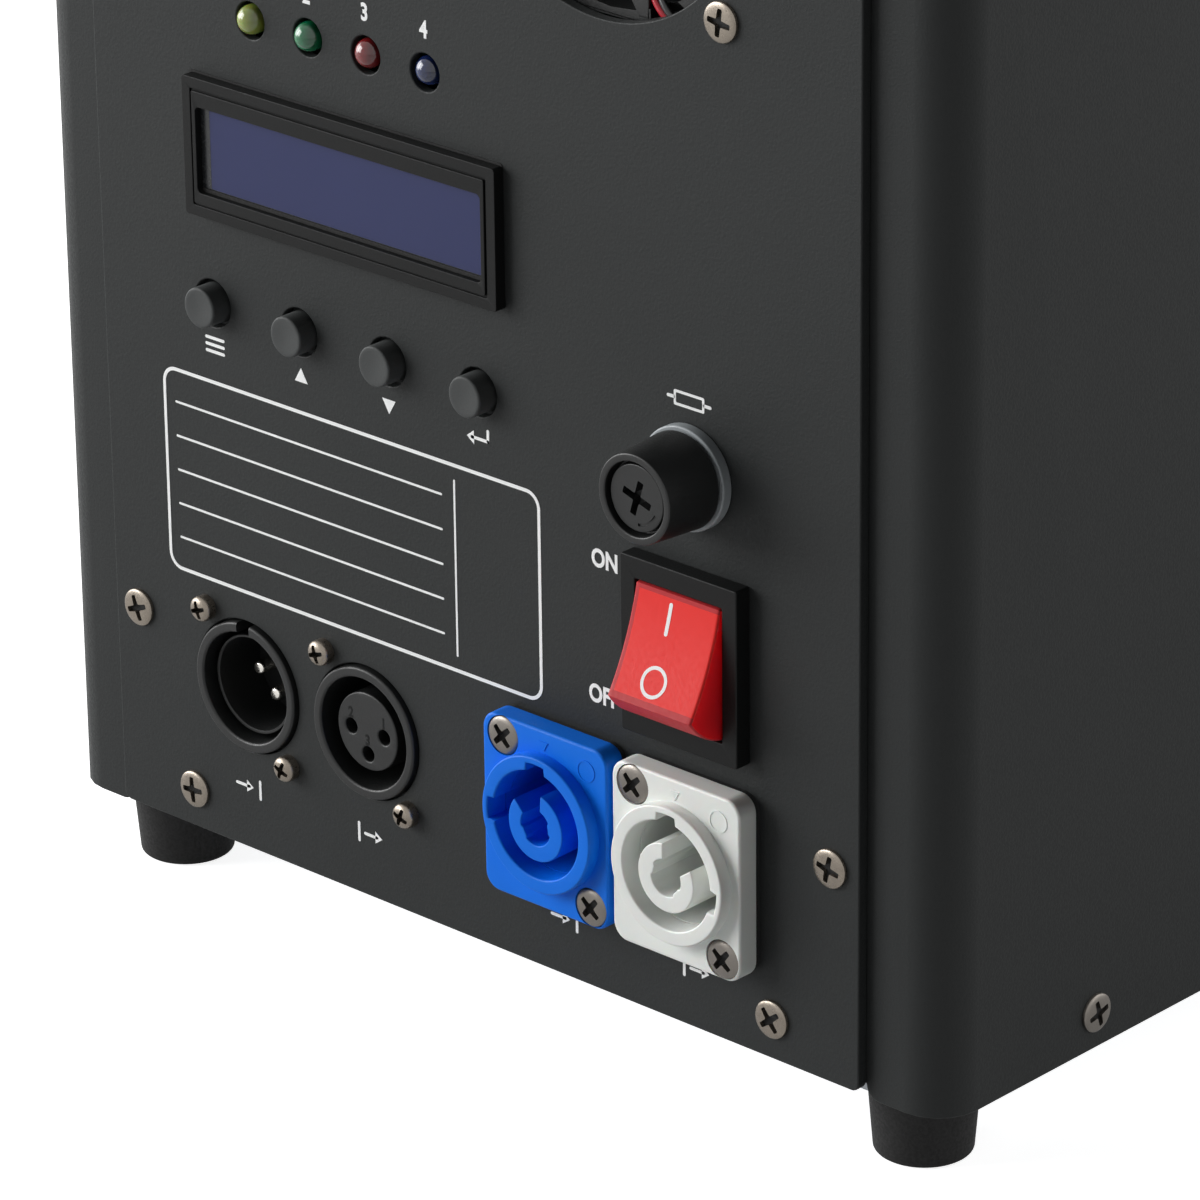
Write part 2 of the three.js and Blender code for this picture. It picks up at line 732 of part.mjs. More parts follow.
function topPlate() {
  const outline = plateOutline(halfWidth, coverHalfDepth, housingCornerRadius);
  const holes = [
    circle(0, tubeDepth, outletCollarRadius + seat, largeSides),
    circle(0, tubeDepth + hopperSetback, fillHoleRadius, largeSides),
  ];
  const sheet = upright(outline, holes, coverTop, housingTop);
  const low = coverTop - flangeHeight;
  const high = coverTop + topSheet / 2;
  const tabs = [-1, 1].map((side) => {
    const middle = side * (panelHalfWidth - flangeScrewInset);
    const front = -flangeHalfDepth;
    return block(middle - tabWidth / 2, middle + tabWidth / 2, front, front + traySheet, low, high);
  });
  const folded = join([sheet, ...foldedEdges(low, high, false, true), ...tabs]);
  return cut(folded, edgeScrewHoles(flangeScrewHeights()[1], housingTop - sideScrewHeight));
}

function foot(x, y) {
  return turnedZ([
    [0, footRecessDepth],
    [footRecessRadius, footRecessDepth],
    [footRecessRadius, 0],
    [footBottomRadius - footChamfer, 0],
    [footBottomRadius, footChamfer],
    [footTopRadius, footHeight],
    [0, footHeight],
  ], x, y);
}

// Outline shared by the control panel and the front panel
function panelOutline() {
  const middle = (panelBottom + panelTop) / 2;
  const height = panelTop - panelBottom;
  return roundedRectangle(0, middle, 2 * panelHalfWidth, height, panelCornerRadius, edgeSteps);
}

function panelScrewPlaces() {
  const lip = panelHalfWidth - lipScrewInset;
  const flange = panelHalfWidth - flangeScrewInset;
  return [
    ...lipScrewHeights().flatMap((height) => [[-lip, height], [lip, height]]),
    ...flangeScrewHeights().flatMap((height) => [[-flange, height], [flange, height]]),
  ];
}

function lampPlaces() {
  return lampNames.map((name, i) => [firstLampAcross + i * lampPitch, panelBottom + lampRowHeight]);
}

function buttonPlaces() {
  return buttonNames.map((name, i) => [firstButtonAcross + i * buttonPitch, panelBottom + buttonRowHeight]);
}

function windowCentre() {
  return panelBottom + displayHeight - windowDrop;
}

function glassOutline(margin) {
  const width = windowWidth + 2 * (glassBorder + margin);
  const height = windowHeight + 2 * (glassBorder + margin);
  return roundedRectangle(displayAcross, windowCentre(), width, height, windowCornerRadius, edgeSteps);
}

function controlPanel() {
  const sockets = [signalInAcross, signalOutAcross, mainsInAcross, mainsOutAcross];
  const switchHole = [switchBodyWidth + 2 * seat, switchBodyHeight + 2 * seat];
  const holes = [
    ...panelScrewPlaces().map(([x, z]) => circle(x, z, screwHoleRadius, holeSides)),
    ...lampPlaces().map(([x, z]) => circle(x, z, lampHoleRadius)),
    ...buttonPlaces().map(([x, z]) => circle(x, z, buttonHoleRadius, buttonSides)),
    ...sockets.map((x) => circle(x, panelBottom + socketRowHeight, socketBodyRadius + seat, wideSides)),
    glassOutline(seat),
    roundedRectangle(switchAcross, panelBottom + switchHeight, ...switchHole, seat, 1),
    circle(fuseAcross, panelBottom + fuseHeight, fuseBarrelRadius + seat, roundSides),
    circle(fanAcross, panelBottom + fanHeight, fanOpeningRadius, largeSides),
  ];
  return facing(panelOutline(), holes, panelFace, panelRear);
}

function frontPanel() {
  const holes = panelScrewPlaces().map(([x, z]) => circle(x, z, screwHoleRadius, holeSides));
  for (let i = 0; i < panelSlots; i += 1) {
    const x = (i - (panelSlots - 1) / 2) * slotPitch;
    const z = panelBottom + panelSlotHeight;
    holes.push(roundedRectangle(x, z, slotWidth, slotLength, slotWidth / 2, slotSteps));
  }
  return facing(panelOutline(), holes, coverHalfDepth, halfDepth);
}

// A pan head screw whose head bears on a face, seen along +Y
function panelScrew(x, z) {
  const face = panelFace;
  const shoulder = face - screwHeadHeight + screwCrownHeight;
  const screw = turnedY([
    [0, face - screwHeadHeight],
    [screwHeadRadius / 2, face - screwHeadHeight + screwCrownHeight / 4],
    [screwHeadRadius, shoulder],
    [screwHeadRadius, face],
    [screwShankRadius, face],
    [screwShankRadius, face + screwShankLength],
    [0, face + screwShankLength],
  ], x, z, smallSides);
  const front = face - screwHeadHeight - overrun;
  const rear = face - screwHeadHeight + screwSlotDepth;
  const [long, thin] = [screwSlotLength / 2, screwSlotWidth / 2];
  return cut(screw, [
    block(x - long, x + long, front, rear, z - thin, z + thin),
    block(x - thin, x + thin, front, rear, z - long, z + long),
  ]);
}

// Lamps, buttons and display

function lamp(x, z, rise) {
  const tip = panelFace - rise;
  const dome = arc(0, tip + lampRadius, lampRadius, -quarterTurn, 0, domeSteps).slice(1);
  const flangeFront = tip + lampLength - lampFlangeHeight;
  const boardFace = panelFace + controlBoardSetback;
  return turnedY([
    [0, tip],
    ...dome.map((point) => [point.x, point.y]),
    [lampRadius, flangeFront],
    [lampFlangeRadius, flangeFront],
    [lampFlangeRadius, tip + lampLength],
    [lampSpacerRadius, tip + lampLength],
    [lampSpacerRadius, boardFace - seat],
    [0, boardFace - seat],
  ], x, z + lampLift, smallSides);
}

function pushButton(x, z) {
  const face = panelFace - buttonRise;
  const flangeFront = panelRear + buttonFlangeGap;
  const boardFace = panelFace + controlBoardSetback;
  const stemEnd = boardFace - tactHeight() - seat - buttonTravel;
  return turnedY([
    [0, face],
    [buttonRadius - buttonChamfer, face],
    [buttonRadius, face + buttonChamfer],
    [buttonRadius, flangeFront],
    [buttonFlangeRadius, flangeFront],
    [buttonFlangeRadius, flangeFront + buttonFlangeHeight],
    [buttonStemRadius, flangeFront + buttonFlangeHeight],
    [buttonStemRadius, stemEnd],
    [0, stemEnd],
  ], x, z, buttonSides);
}

function tactHeight() {
  return tactWidth / 2 + seat;
}

function displayBezel() {
  const outer = roundedRectangle(
    displayAcross, panelBottom + displayHeight, bezelWidth, bezelHeight, bezelCornerRadius, edgeSteps);
  const hole = roundedRectangle(
    displayAcross, windowCentre(), windowWidth, windowHeight, windowCornerRadius, edgeSteps);
  return facing(outer, [hole], panelFace - bezelRise, panelFace);
}

// Glass, its board and the pin header that reaches the control board
function displayModule() {
  const boardFront = panelRear + seat;
  const boardBack = boardFront + displayBoardSheet;
  const middle = panelBottom + displayHeight;
  const headerFoot = middle - displayBoardHeight / 2 + headerHeight;
  return join([
    facing(glassOutline(0), [], panelFace + seat, boardFront + displayBoardSheet / 2),
    block(displayAcross - displayBoardWidth / 2, displayAcross + displayBoardWidth / 2,
      boardFront, boardBack, middle - displayBoardHeight / 2, middle + displayBoardHeight / 2),
    block(displayAcross - headerWidth / 2, displayAcross + headerWidth / 2,
      boardBack - displayBoardSheet / 2, panelFace + controlBoardSetback - seat,
      headerFoot, headerFoot + headerHeight),
  ]);
}

function controlBoard() {
  const front = panelFace + controlBoardSetback;
  const rear = front + controlBoardSheet;
  const left = firstButtonAcross - controlBoardMargin;
  const right = left + controlBoardWidth;
  const low = panelBottom + buttonRowHeight - controlBoardMargin;
  const high = panelBottom + lampRowHeight + controlBoardMargin;
  const inside = controlBoardSheet / 2;
  const posts = [left + postInset, right - postInset].flatMap((x) => (
    [low + postInset, high - postInset].map((z) => rodY(x, z, postRadius, panelRear + seat, rear - inside))
  ));
  const switches = buttonPlaces().map(([x, z]) => (
    block(x - tactWidth / 2, x + tactWidth / 2, front - tactHeight(), front + inside,
      z - tactWidth / 2, z + tactWidth / 2)
  ));
  const chipX = (left + right) / 2;
  const chipZ = (low + high) / 2;
  const chip = block(chipX - chipWidth / 2, chipX + chipWidth / 2, front + inside, rear + chipHeight,
    chipZ - chipWidth / 2, chipZ + chipWidth / 2);
  return join([block(left, right, front, rear, low, high), ...posts, ...switches, chip]);
}

// Rocker switch

function switchFrame() {
  const z = panelBottom + switchHeight;
  const bodyRear = panelFace + switchBodyDepth;
  const outer = roundedRectangle(
    switchAcross, z, switchFrameWidth, switchFrameHeight, switchFrameRadius, edgeSteps);
  const frame = facing(outer, [], switchFront, panelFace);
  const body = block(switchAcross - switchBodyWidth / 2, switchAcross + switchBodyWidth / 2,
    panelFace, bodyRear, z - switchBodyHeight / 2, z + switchBodyHeight / 2);
  const window = block(switchAcross - switchWindowWidth / 2, switchAcross + switchWindowWidth / 2,
    switchFront - overrun, switchFront + switchWindowDepth,
    z - switchWindowHeight / 2, z + switchWindowHeight / 2);
  const tabs = [-1, 1].flatMap((column) => [-1, 1].map((row) => {
    const x = switchAcross + column * switchBodyWidth / 4;
    const height = z + row * switchBodyHeight / 4;
    return block(x - switchTabSheet / 2, x + switchTabSheet / 2, bodyRear - switchTabSheet,
      bodyRear + switchTabLength, height - switchTabWidth / 2, height + switchTabWidth / 2);
  }));
  return join([cut(join([frame, body]), [window]), ...tabs]);
}

// The rocker in its rest place, with the upper end pressed in
function switchRocker() {
  const tipOut = rockerRadius * Math.cos(rockerTipAngle);
  const tipUp = rockerRadius * Math.sin(rockerTipAngle);
  const face = [];
  for (let i = 1; i < rockerFaceSteps; i += 1) {
    const share = 2 * i / rockerFaceSteps - 1;
    face.push(new THREE.Vector2(tipOut - rockerHollow * (1 - share * share), share * tipUp));
  }
  const level = [
    ...face,
    ...arc(0, 0, rockerRadius, rockerTipAngle, rockerBackAngle, cornerSteps),
    ...arc(0, 0, rockerRadius, -rockerBackAngle, -rockerTipAngle, cornerSteps),
  ];
  const pivotY = switchFront + pivotDepth;
  const pivotZ = panelBottom + switchHeight;
  const points = level.map((point) => {
    const turned = point.rotateAround(new THREE.Vector2(), rockerTilt);
    return new THREE.Vector2(pivotY - turned.x, pivotZ + turned.y);
  });
  const reach = switchWindowWidth / 2 - seat;
  return across(points, [], switchAcross - reach, switchAcross + reach);
}

// Fuse holder, its cap and the cartridge that comes out with the cap

function fuseHolder() {
  const z = panelBottom + fuseHeight;
  const front = panelFace - fuseFlangeRise;
  const rear = fuseBarrelEnd;
  const holder = turnedY([
    [fuseBoreRadius, front],
    [fuseFlangeRadius, front],
    [fuseFlangeRadius, panelFace],
    [fuseBarrelRadius, panelFace],
    [fuseBarrelRadius, rear],
    [0, rear],
    [0, rear - fuseRearWall],
    [fuseBoreRadius, rear - fuseRearWall],
    [fuseBoreRadius, front],
  ], fuseAcross, z);
  const tab = block(fuseAcross - fuseSlotWidth / 2, fuseAcross + fuseSlotWidth / 2,
    rear - fuseRearWall / 2, rear + fuseTabLength, z - fuseBarrelRadius / 2, z + fuseBarrelRadius / 2);
  return join([holder, tab]);
}

function fuseCap() {
  const z = panelBottom + fuseHeight;
  const rear = fuseFront + fuseCapLength;
  const cap = turnedY([
    [0, fuseFront + fuseDiscDepth],
    [fuseDiscRadius, fuseFront + fuseDiscDepth],
    [fuseDiscRadius, fuseFront],
    [fuseCapFrontRadius - fuseCapChamfer, fuseFront],
    [fuseCapFrontRadius, fuseFront + fuseCapChamfer],
    [fuseCapRadius, rear],
    [fuseBoreRadius - seat, rear],
    [fuseBoreRadius - seat, fuseStemEnd],
    [cartridgeRadius + seat, fuseStemEnd],
    [cartridgeRadius + seat, fuseStemEnd - fuseClipDepth],
    [0, fuseStemEnd - fuseClipDepth],
  ], fuseAcross, z);
  const discFace = fuseFront + fuseDiscDepth;
  const [long, thin] = [fuseSlotLength / 2, fuseSlotWidth / 2];
  const slots = [[long, thin], [thin, long]].map(([reachX, reachZ]) => (
    block(fuseAcross - reachX, fuseAcross + reachX, fuseFront - overrun, discFace + fuseSlotDepth,
      z - reachZ, z + reachZ)
  ));
  return cut(cap, slots);
}

function fuseCartridge() {
  const rear = cartridgeFront + cartridgeLength;
  return rodY(fuseAcross, panelBottom + fuseHeight, cartridgeRadius, cartridgeFront, rear);
}

// Signal sockets, mounted from behind the panel

// Right, below and left of the socket axis
function contactPlaces(x, z) {
  return [0, 1, 2].map((i) => {
    const angle = -i * quarterTurn;
    return [x + contactSpread * Math.cos(angle), z + contactSpread * Math.sin(angle)];
  });
}

function signalShell(x) {
  const z = panelBottom + socketRowHeight;
  const front = panelFace - signalRingRise;
  const floor = front + signalBoreDepth;
  const outline = roundedRectangle(x, z, flangeWidth, flangeTall, flangeCornerRadius, edgeSteps);
  const plate = facing(outline, [], panelRear + seat, panelRear + seat + signalFlangeSheet);
  const body = rodY(x, z, socketBodyRadius, front, panelRear + signalBodyDepth, wideSides);
  const bore = rodY(x, z, signalBoreRadius, front - overrun, floor, wideSides);
  const key = block(x - signalKeyWidth / 2, x + signalKeyWidth / 2, front - overrun, floor - signalKeyWidth,
    z, z + signalBoreRadius + signalKeyDepth);
  return cut(join([plate, body]), [bore, key]);
}

function signalPins(x) {
  const z = panelBottom + socketRowHeight;
  const rear = panelFace - signalRingRise + signalBoreDepth - seat;
  const disc = rodY(x, z, signalBoreRadius - seat, rear - contactDisc, rear, roundSides);
  const pins = contactPlaces(x, z).map(([px, pz]) => (
    rodY(px, pz, contactRadius, rear - contactDisc / 2 - contactLength, rear - contactDisc / 2)
  ));
  return join([disc, ...pins]);
}

function signalInsert(x) {
  const z = panelBottom + socketRowHeight;
  const front = panelFace - signalRingRise + insertDrop;
  const rear = panelFace - signalRingRise + signalBoreDepth - seat;
  const body = join([
    rodY(x, z, insertRadius, front, rear, roundSides),
    rodY(x, z, signalBoreRadius - seat, rear - contactDisc, rear, roundSides),
  ]);
  const holes = contactPlaces(x, z).map(([px, pz]) => (
    rodY(px, pz, contactHoleRadius, front - overrun, front + contactHoleDepth)
  ));
  return cut(body, holes);
}

// Mains sockets, with a flange on the face of the panel

function mainsSocket(x, keys) {
  const z = panelBottom + socketRowHeight;
  const flangeFront = panelFace - mainsFlangeSheet;
  const front = flangeFront - mainsRingRise;
  const floor = front + mainsBoreDepth;
  const outline = roundedRectangle(x, z, flangeWidth, flangeTall, flangeCornerRadius, edgeSteps);
  const shell = join([
    facing(outline, [], flangeFront, panelFace),
    rodY(x, z, mainsRingRadius, front, flangeFront + mainsFlangeSheet / 2, wideSides),
    rodY(x, z, socketBodyRadius, panelFace - mainsFlangeSheet / 2, panelFace + mainsBodyDepth, wideSides),
  ]);
  const bore = rodY(x, z, mainsBoreRadius, front - overrun, floor, wideSides);
  const notches = keys.map((degrees) => {
    const notch = new THREE.BoxGeometry(mainsBoreRadius + mainsKeyReach, floor - front, mainsKeyWidth);
    notch.translate((mainsBoreRadius + mainsKeyReach) / 2, (front + floor) / 2 - overrun, 0);
    notch.rotateY(-THREE.MathUtils.degToRad(degrees));
    return solidOf(notch.translate(x, 0, z));
  });
  const core = cut(
    rodY(x, z, mainsCoreRadius, front + mainsCoreDrop, floor + overrun, roundSides),
    [rodY(x, z, mainsCoreBoreRadius, front - overrun, floor - overrun)],
  );
  return join([cut(shell, [bore, ...notches]), core]);
}

// Fan

function fanFrame() {
  const z = panelBottom + fanHeight;
  const front = panelRear + seat;
  const rear = front + fanThickness;
  const corner = fanScrewSpacing / 2;
  const holes = [-1, 1].flatMap((i) => [-1, 1].map((j) => (
    circle(fanAcross + i * corner, z + j * corner, fanScrewHoleRadius, holeSides)
  )));
  holes.push(circle(fanAcross, z, fanBoreRadius, largeSides));
  const outline = roundedRectangle(fanAcross, z, fanSize, fanSize, fanFrameRadius, edgeSteps);
  const struts = [];
  for (let i = 0; i < fanStruts; i += 1) {
    const reach = fanBoreRadius + fanFrameRadius / 2;
    const strut = new THREE.BoxGeometry(reach, fanPlateSheet, fanStrutWidth);
    strut.translate(reach / 2, front + fanPlateSheet / 2, 0);
    strut.rotateY((i + 1 / 3) * fullTurn / fanStruts);
    struts.push(solidOf(strut.translate(fanAcross, 0, z)));
  }
  return join([
    facing(outline, holes, front, rear),
    ...struts,
    rodY(fanAcross, z, fanPlateRadius, front, front + fanPlateSheet, roundSides),
    rodY(fanAcross, z, fanBossRadius, front, front + fanPlateSheet + fanBossLength),
  ]);
}

function fanRotor() {
  const z = panelBottom + fanHeight;
  const front = panelRear + seat + fanPlateSheet + seat;
  const hub = rodY(fanAcross, z, rotorHubRadius, front, front + rotorHubLength, roundSides);
  const bearing = rodY(fanAcross, z, fanBossRadius + seat, front - overrun, front + fanBossLength);
  const tip = fanBoreRadius - rotorTipGap;
  const blades = [];
  for (let i = 0; i < rotorBlades; i += 1) {
    const length = tip - rotorHubRadius / 2;
    const blade = new THREE.BoxGeometry(length, rotorBladeSheet, rotorBladeChord);
    blade.rotateX(rotorPitch);
    blade.translate(tip - length / 2, front + rotorHubLength / 2, 0);
    blade.rotateY(i * fullTurn / rotorBlades);
    blades.push(solidOf(blade.translate(fanAcross, 0, z)));
  }
  const swept = rodY(fanAcross, z, tip, front, front + rotorHubLength, largeSides);
  return cut(join([hub, ...blades]).intersect(swept), [bearing]);
}

// Outlet, heating tube, ceramic sleeve and induction coil

function outletRing() {
  const top = housingTop + outletFlangeSheet;
  const bore = tubeRadius + seat;
  const throat = tubeRadius - tubeWall;
  const coneBottom = housingTop - outletConeDepth;
  return turnedZ([
    [bore, collarBottom],
    [outletCollarRadius, collarBottom],
    [outletCollarRadius, housingTop],
    [outletFlangeRadius, housingTop],
    [outletFlangeRadius, top - outletFlangeSheet / 2],
    [outletFlangeRadius - outletFlangeSheet / 2, top],
    [outletMouthRadius, top],
    [throat, coneBottom],
    [throat, coneBottom - outletThroat],
    [bore, coneBottom - outletThroat],
    [bore, collarBottom],
  ], 0, 0, largeSides);
}

function heatingTube() {
  return turnedZ([
    [tubeRadius - tubeWall, tubeBottom],
    [tubeRadius, tubeBottom],
    [tubeRadius, tubeTop],
    [tubeRadius - tubeWall, tubeTop],
    [tubeRadius - tubeWall, tubeBottom],
  ], 0, 0);
}

function tubeSleeve() {
  const low = mixingTop + sleeveRise;
  return turnedZ([
    [tubeRadius + seat, low],
    [sleeveRadius, low],
    [sleeveRadius, low + sleeveLength],
    [tubeRadius + seat, low + sleeveLength],
    [tubeRadius + seat, low],
  ], 0, 0);
}

class Winding extends THREE.Curve {
  getPoint(share, target = new THREE.Vector3()) {
    const angle = quarterTurn + share * coilTurns * fullTurn;
    const height = mixingTop + coilRise + share * coilTurns * coilPitch;
    return target.set(coilRadius * Math.cos(angle), coilRadius * Math.sin(angle), height);
  }
}

// Least gap of the winding to its own next turn, measured between points on its axis
function leastCoilGap(points) {
  const span = Math.round(coilStepsPerTurn / 2);
  let least = Infinity;
  for (let i = 0; i < points.length; i += 1) {
    for (let j = i + span; j < points.length; j += 1) {
      least = Math.min(least, points[i].distanceTo(points[j]));
    }
  }
  return least - 2 * coilWireRadius;
}

function heaterCoil() {
  const winding = new Winding();
  const first = winding.getPoint(0);
  const last = winding.getPoint(1);
  const turns = winding.getPoints(coilTurns * coilStepsPerTurn);
  console.log(`heater coil: least gap between its turns ${leastCoilGap(turns).toFixed(2)} mm`);
  const leads = [];
  for (let i = 0; i < leadSteps; i += 1) {
    leads.push(coilLeadReach * (1 - i / leadSteps));
  }
  const route = [
    ...leads.map((x) => new THREE.Vector3(x, first.y, first.z)),
    ...turns,
    ...leads.map((x) => new THREE.Vector3(x, last.y, last.z)).reverse(),
  ];
  const places = [];
  const faces = [];
  route.forEach((point, i) => {
    const before = route[Math.max(i - 1, 0)];
    const after = route[Math.min(i + 1, route.length - 1)];
    const along = after.clone().sub(before).normalize();
    const side = new THREE.Vector3(0, 0, 1).cross(along).normalize();
    const up = along.clone().cross(side);
    for (let k = 0; k < coilSides; k += 1) {
      const angle = k * fullTurn / coilSides;
      const rim = point.clone();
      rim.addScaledVector(side, coilWireRadius * Math.cos(angle));
      rim.addScaledVector(up, coilWireRadius * Math.sin(angle));
      places.push(rim.x, rim.y, rim.z);
    }
  });
  for (let i = 0; i < route.length - 1; i += 1) {
    for (let k = 0; k < coilSides; k += 1) {
      const next = (k + 1) % coilSides;
      const [a, b] = [i * coilSides + k, i * coilSides + next];
      const [c, d] = [a + coilSides, b + coilSides];
      faces.push(a, b, d, a, d, c);
    }
  }
  const lastRing = (route.length - 1) * coilSides;
  for (let k = 1; k < coilSides - 1; k += 1) {
    faces.push(0, k + 1, k);
    faces.push(lastRing, lastRing + k, lastRing + k + 1);
  }
  const tube = new THREE.BufferGeometry();
  tube.setAttribute('position', new THREE.Float32BufferAttribute(places, 3));
  tube.setIndex(faces);
  return solidOf(tube);
}

// Mixing block, blower and impeller

// Axis of the chute, from the chamber floor of the feed to the bore of the mixing block
function chuteAxis() {
  const start = new THREE.Vector3(0, hopperSetback - chuteExit, chamberFloor);
  const end = new THREE.Vector3(0, mixingBoreRadius - chuteWall, mixingBottom + chuteTargetHeight);
  return { start, end, along: end.clone().sub(start).normalize() };
}

function slantedRod(from, to, radius) {
  const length = from.distanceTo(to);
  const rod = new THREE.CylinderGeometry(radius, radius, length, roundSides);
  const turn = new THREE.Quaternion().setFromUnitVectors(
    new THREE.Vector3(0, 1, 0), to.clone().sub(from).normalize());
  rod.applyQuaternion(turn);
  const middle = from.clone().add(to).divideScalar(2);
  return solidOf(rod.translate(middle.x, middle.y, middle.z));
}

function chuteTool() {
  const { start, end, along } = chuteAxis();
  const from = start.clone().addScaledVector(along, -overrun);
  return slantedRod(from, end, chuteRadius + seat);
}

function feedChute() {
  const { start, along } = chuteAxis();
  const from = start.clone().addScaledVector(along, chuteFloorGap);
  const run = (start.y - mixingBack + chuteEntry) / -along.y;
  const to = start.clone().addScaledVector(along, run);
  const inner = chuteRadius - chuteWall;
  const bore = slantedRod(
    from.clone().addScaledVector(along, -overrun), to.clone().addScaledVector(along, overrun), inner);
  return cut(slantedRod(from, to, chuteRadius), [bore]);
}

function mixingBlock() {
  const body = block(-mixingHalfWidth, mixingHalfWidth, -mixingHalfWidth, mixingBack,
    mixingBottom, mixingTop);
  return cut(body, [
    rodZ(0, 0, mixingBoreRadius, mixingBottom - overrun, mixingTop + overrun, roundSides),
    rodZ(0, 0, tubeRadius + seat, mixingTop - tubeSeatDepth, mixingTop + overrun, roundSides),
    chuteTool(),
  ]);
}

function blowerHousing() {
  const half = blowerThickness / 2;
  const duct = blowerDuctWidth / 2;
  const inner = duct - blowerWall;
  const outside = join([
    rodY(blowerAcross, blowerHeight, blowerRadius, -half, half, wideSides),
    block(-duct, duct, -half, half, blowerHeight, blowerTop),
    block(blowerAcross - blowerRadius, duct, -half, half, trayTop + seat, trayTop + seat + blowerFootSheet),
  ]);
  const hollow = join([
    rodY(blowerAcross, blowerHeight, blowerRadius - blowerWall, -half + blowerWall, half - blowerWall,
      wideSides),
    block(-inner, inner, -half + blowerWall, half - blowerWall, blowerHeight, blowerTop + overrun),
    rodY(blowerAcross, blowerHeight, blowerInletRadius, 0, half + overrun, roundSides),
  ]);
  const floor = -half + blowerWall;
  return join([
    cut(outside, [hollow]),
    rodY(blowerAcross, blowerHeight, statorRadius, floor - blowerWall / 2, floor + statorLength, roundSides),
    rodY(blowerAcross, blowerHeight, blowerShaftRadius, floor, floor + statorLength + blowerShaftLength),
  ]);
}

function blowerImpeller() {
  const front = -blowerThickness / 2 + blowerWall + statorLength + seat;
  const shaftEnd = front - seat + blowerShaftLength;
  const rear = front + impellerLength;
  const middle = (impellerRadius + impellerInnerRadius) / 2;
  const ring = turnedY([
    [impellerInnerRadius, rear - impellerRing],
    [impellerRadius, rear - impellerRing],
    [impellerRadius, rear],
    [impellerInnerRadius, rear],
    [impellerInnerRadius, rear - impellerRing],
  ], blowerAcross, blowerHeight, wideSides);
  const vanes = [];
  for (let i = 0; i < impellerVanes; i += 1) {
    const vane = new THREE.BoxGeometry(impellerRadius - impellerInnerRadius - 2 * impellerVaneSheet,
      rear - front - impellerRing, impellerVaneSheet);
    vane.translate(middle, (front + impellerPlate / 2 + rear - impellerRing / 2) / 2, 0);
    vane.rotateY(i * fullTurn / impellerVanes);
    vanes.push(solidOf(vane.translate(blowerAcross, 0, blowerHeight)));
  }
  const wheel = join([
    rodY(blowerAcross, blowerHeight, impellerRadius, front, front + impellerPlate, wideSides),
    rodY(blowerAcross, blowerHeight, impellerHubRadius, front, shaftEnd + 2 * seat + impellerPlate),
    ring,
    ...vanes,
  ]);
  const bore = rodY(blowerAcross, blowerHeight, blowerShaftRadius + seat, front - overrun, shaftEnd + seat);
  return cut(wheel, [bore]);
}

// Hopper, lid and hinge

function hopper() {
  const coneTop = hopperTop - hopperStraight;
  const neckTop = coneTop - hopperConeHeight;
  return turnedZ([
    [hopperNeckRadius, neckBottom],
    [hopperNeckRadius, neckTop],
    [hopperRadius, coneTop],
    [hopperRadius, hopperTop - hopperWall],
    [hopperFlangeRadius, hopperTop - hopperWall],
    [hopperFlangeRadius, hopperTop],
    [hopperRadius - hopperWall, hopperTop],
    [hopperRadius - hopperWall, coneTop],
    [hopperNeckRadius - hopperWall, neckTop],
    [hopperNeckRadius - hopperWall, neckBottom],
    [hopperNeckRadius, neckBottom],
  ], 0, hopperSetback, wideSides);
}

function hopperSeal() {
  const inner = lidRadius - lidSkirtWall - seat - sealWidth;
  return turnedZ([
    [inner, housingTop],
    [inner + sealWidth, housingTop],
    [inner + sealWidth, housingTop + sealSheet],
    [inner, housingTop + sealSheet],
    [inner, housingTop],
  ], 0, hopperSetback);
}

function lidUnderside() {
  return housingTop + sealSheet + seat;
}

function hopperLid() {
  const low = lidUnderside();
  const high = low + lidSheet;
  const skirt = housingTop + lidSkirtGap;
  const plate = turnedZ([
    [0, low],
    [lidRadius - lidSkirtWall, low],
    [lidRadius - lidSkirtWall, skirt],
    [lidRadius, skirt],
    [lidRadius, high - lidSkirtWall],
    [lidRadius - lidSkirtWall, high],
    [knobWaist, high],
    [knobWaist, high + knobHeight / 3],
    [knobRadius, high + knobHeight / 2],
    [knobRadius, high + knobHeight - lidSkirtWall],
    [knobRadius - lidSkirtWall, high + knobHeight],
    [0, high + knobHeight],
  ], 0, hopperSetback, largeSides);
  const half = knuckleLength / 2;
  const tongue = block(-half, half, hopperSetback + lidRadius - sealWidth - lidSheet, hingeDepth, low, high);
  const knuckle = rodX(hingeDepth, hingeHeight, knuckleRadius, -half, half);
  const bore = rodX(hingeDepth, hingeHeight, pinRadius + seat, -half - overrun, half + overrun);
  return cut(join([plate, tongue, knuckle]), [bore]);
}

function lidHingeBase() {
  const inner = knuckleLength / 2 + seat;
  const outer = inner + earSheet;
  const front = hingeDepth + hingeBaseClear;
  const rear = hingeDepth + hingeBaseReach;
  const ears = [-1, 1].flatMap((side) => {
    const [left, right] = [Math.min(side * inner, side * outer), Math.max(side * inner, side * outer)];
    return [
      rodX(hingeDepth, hingeHeight, earRadius, left, right),
      block(left, right, hingeDepth - earRadius, rear, housingTop, housingTop + hingeBaseSheet),
      block(left, right, hingeDepth - earRadius, hingeDepth + earRadius, housingTop, hingeHeight),
    ];
  });
  const bore = rodX(hingeDepth, hingeHeight, pinRadius + seat, -outer - overrun, outer + overrun);
  const strip = block(-outer, outer, front, rear, housingTop, housingTop + hingeBaseSheet);
  return cut(join([strip, ...ears]), [bore]);
}

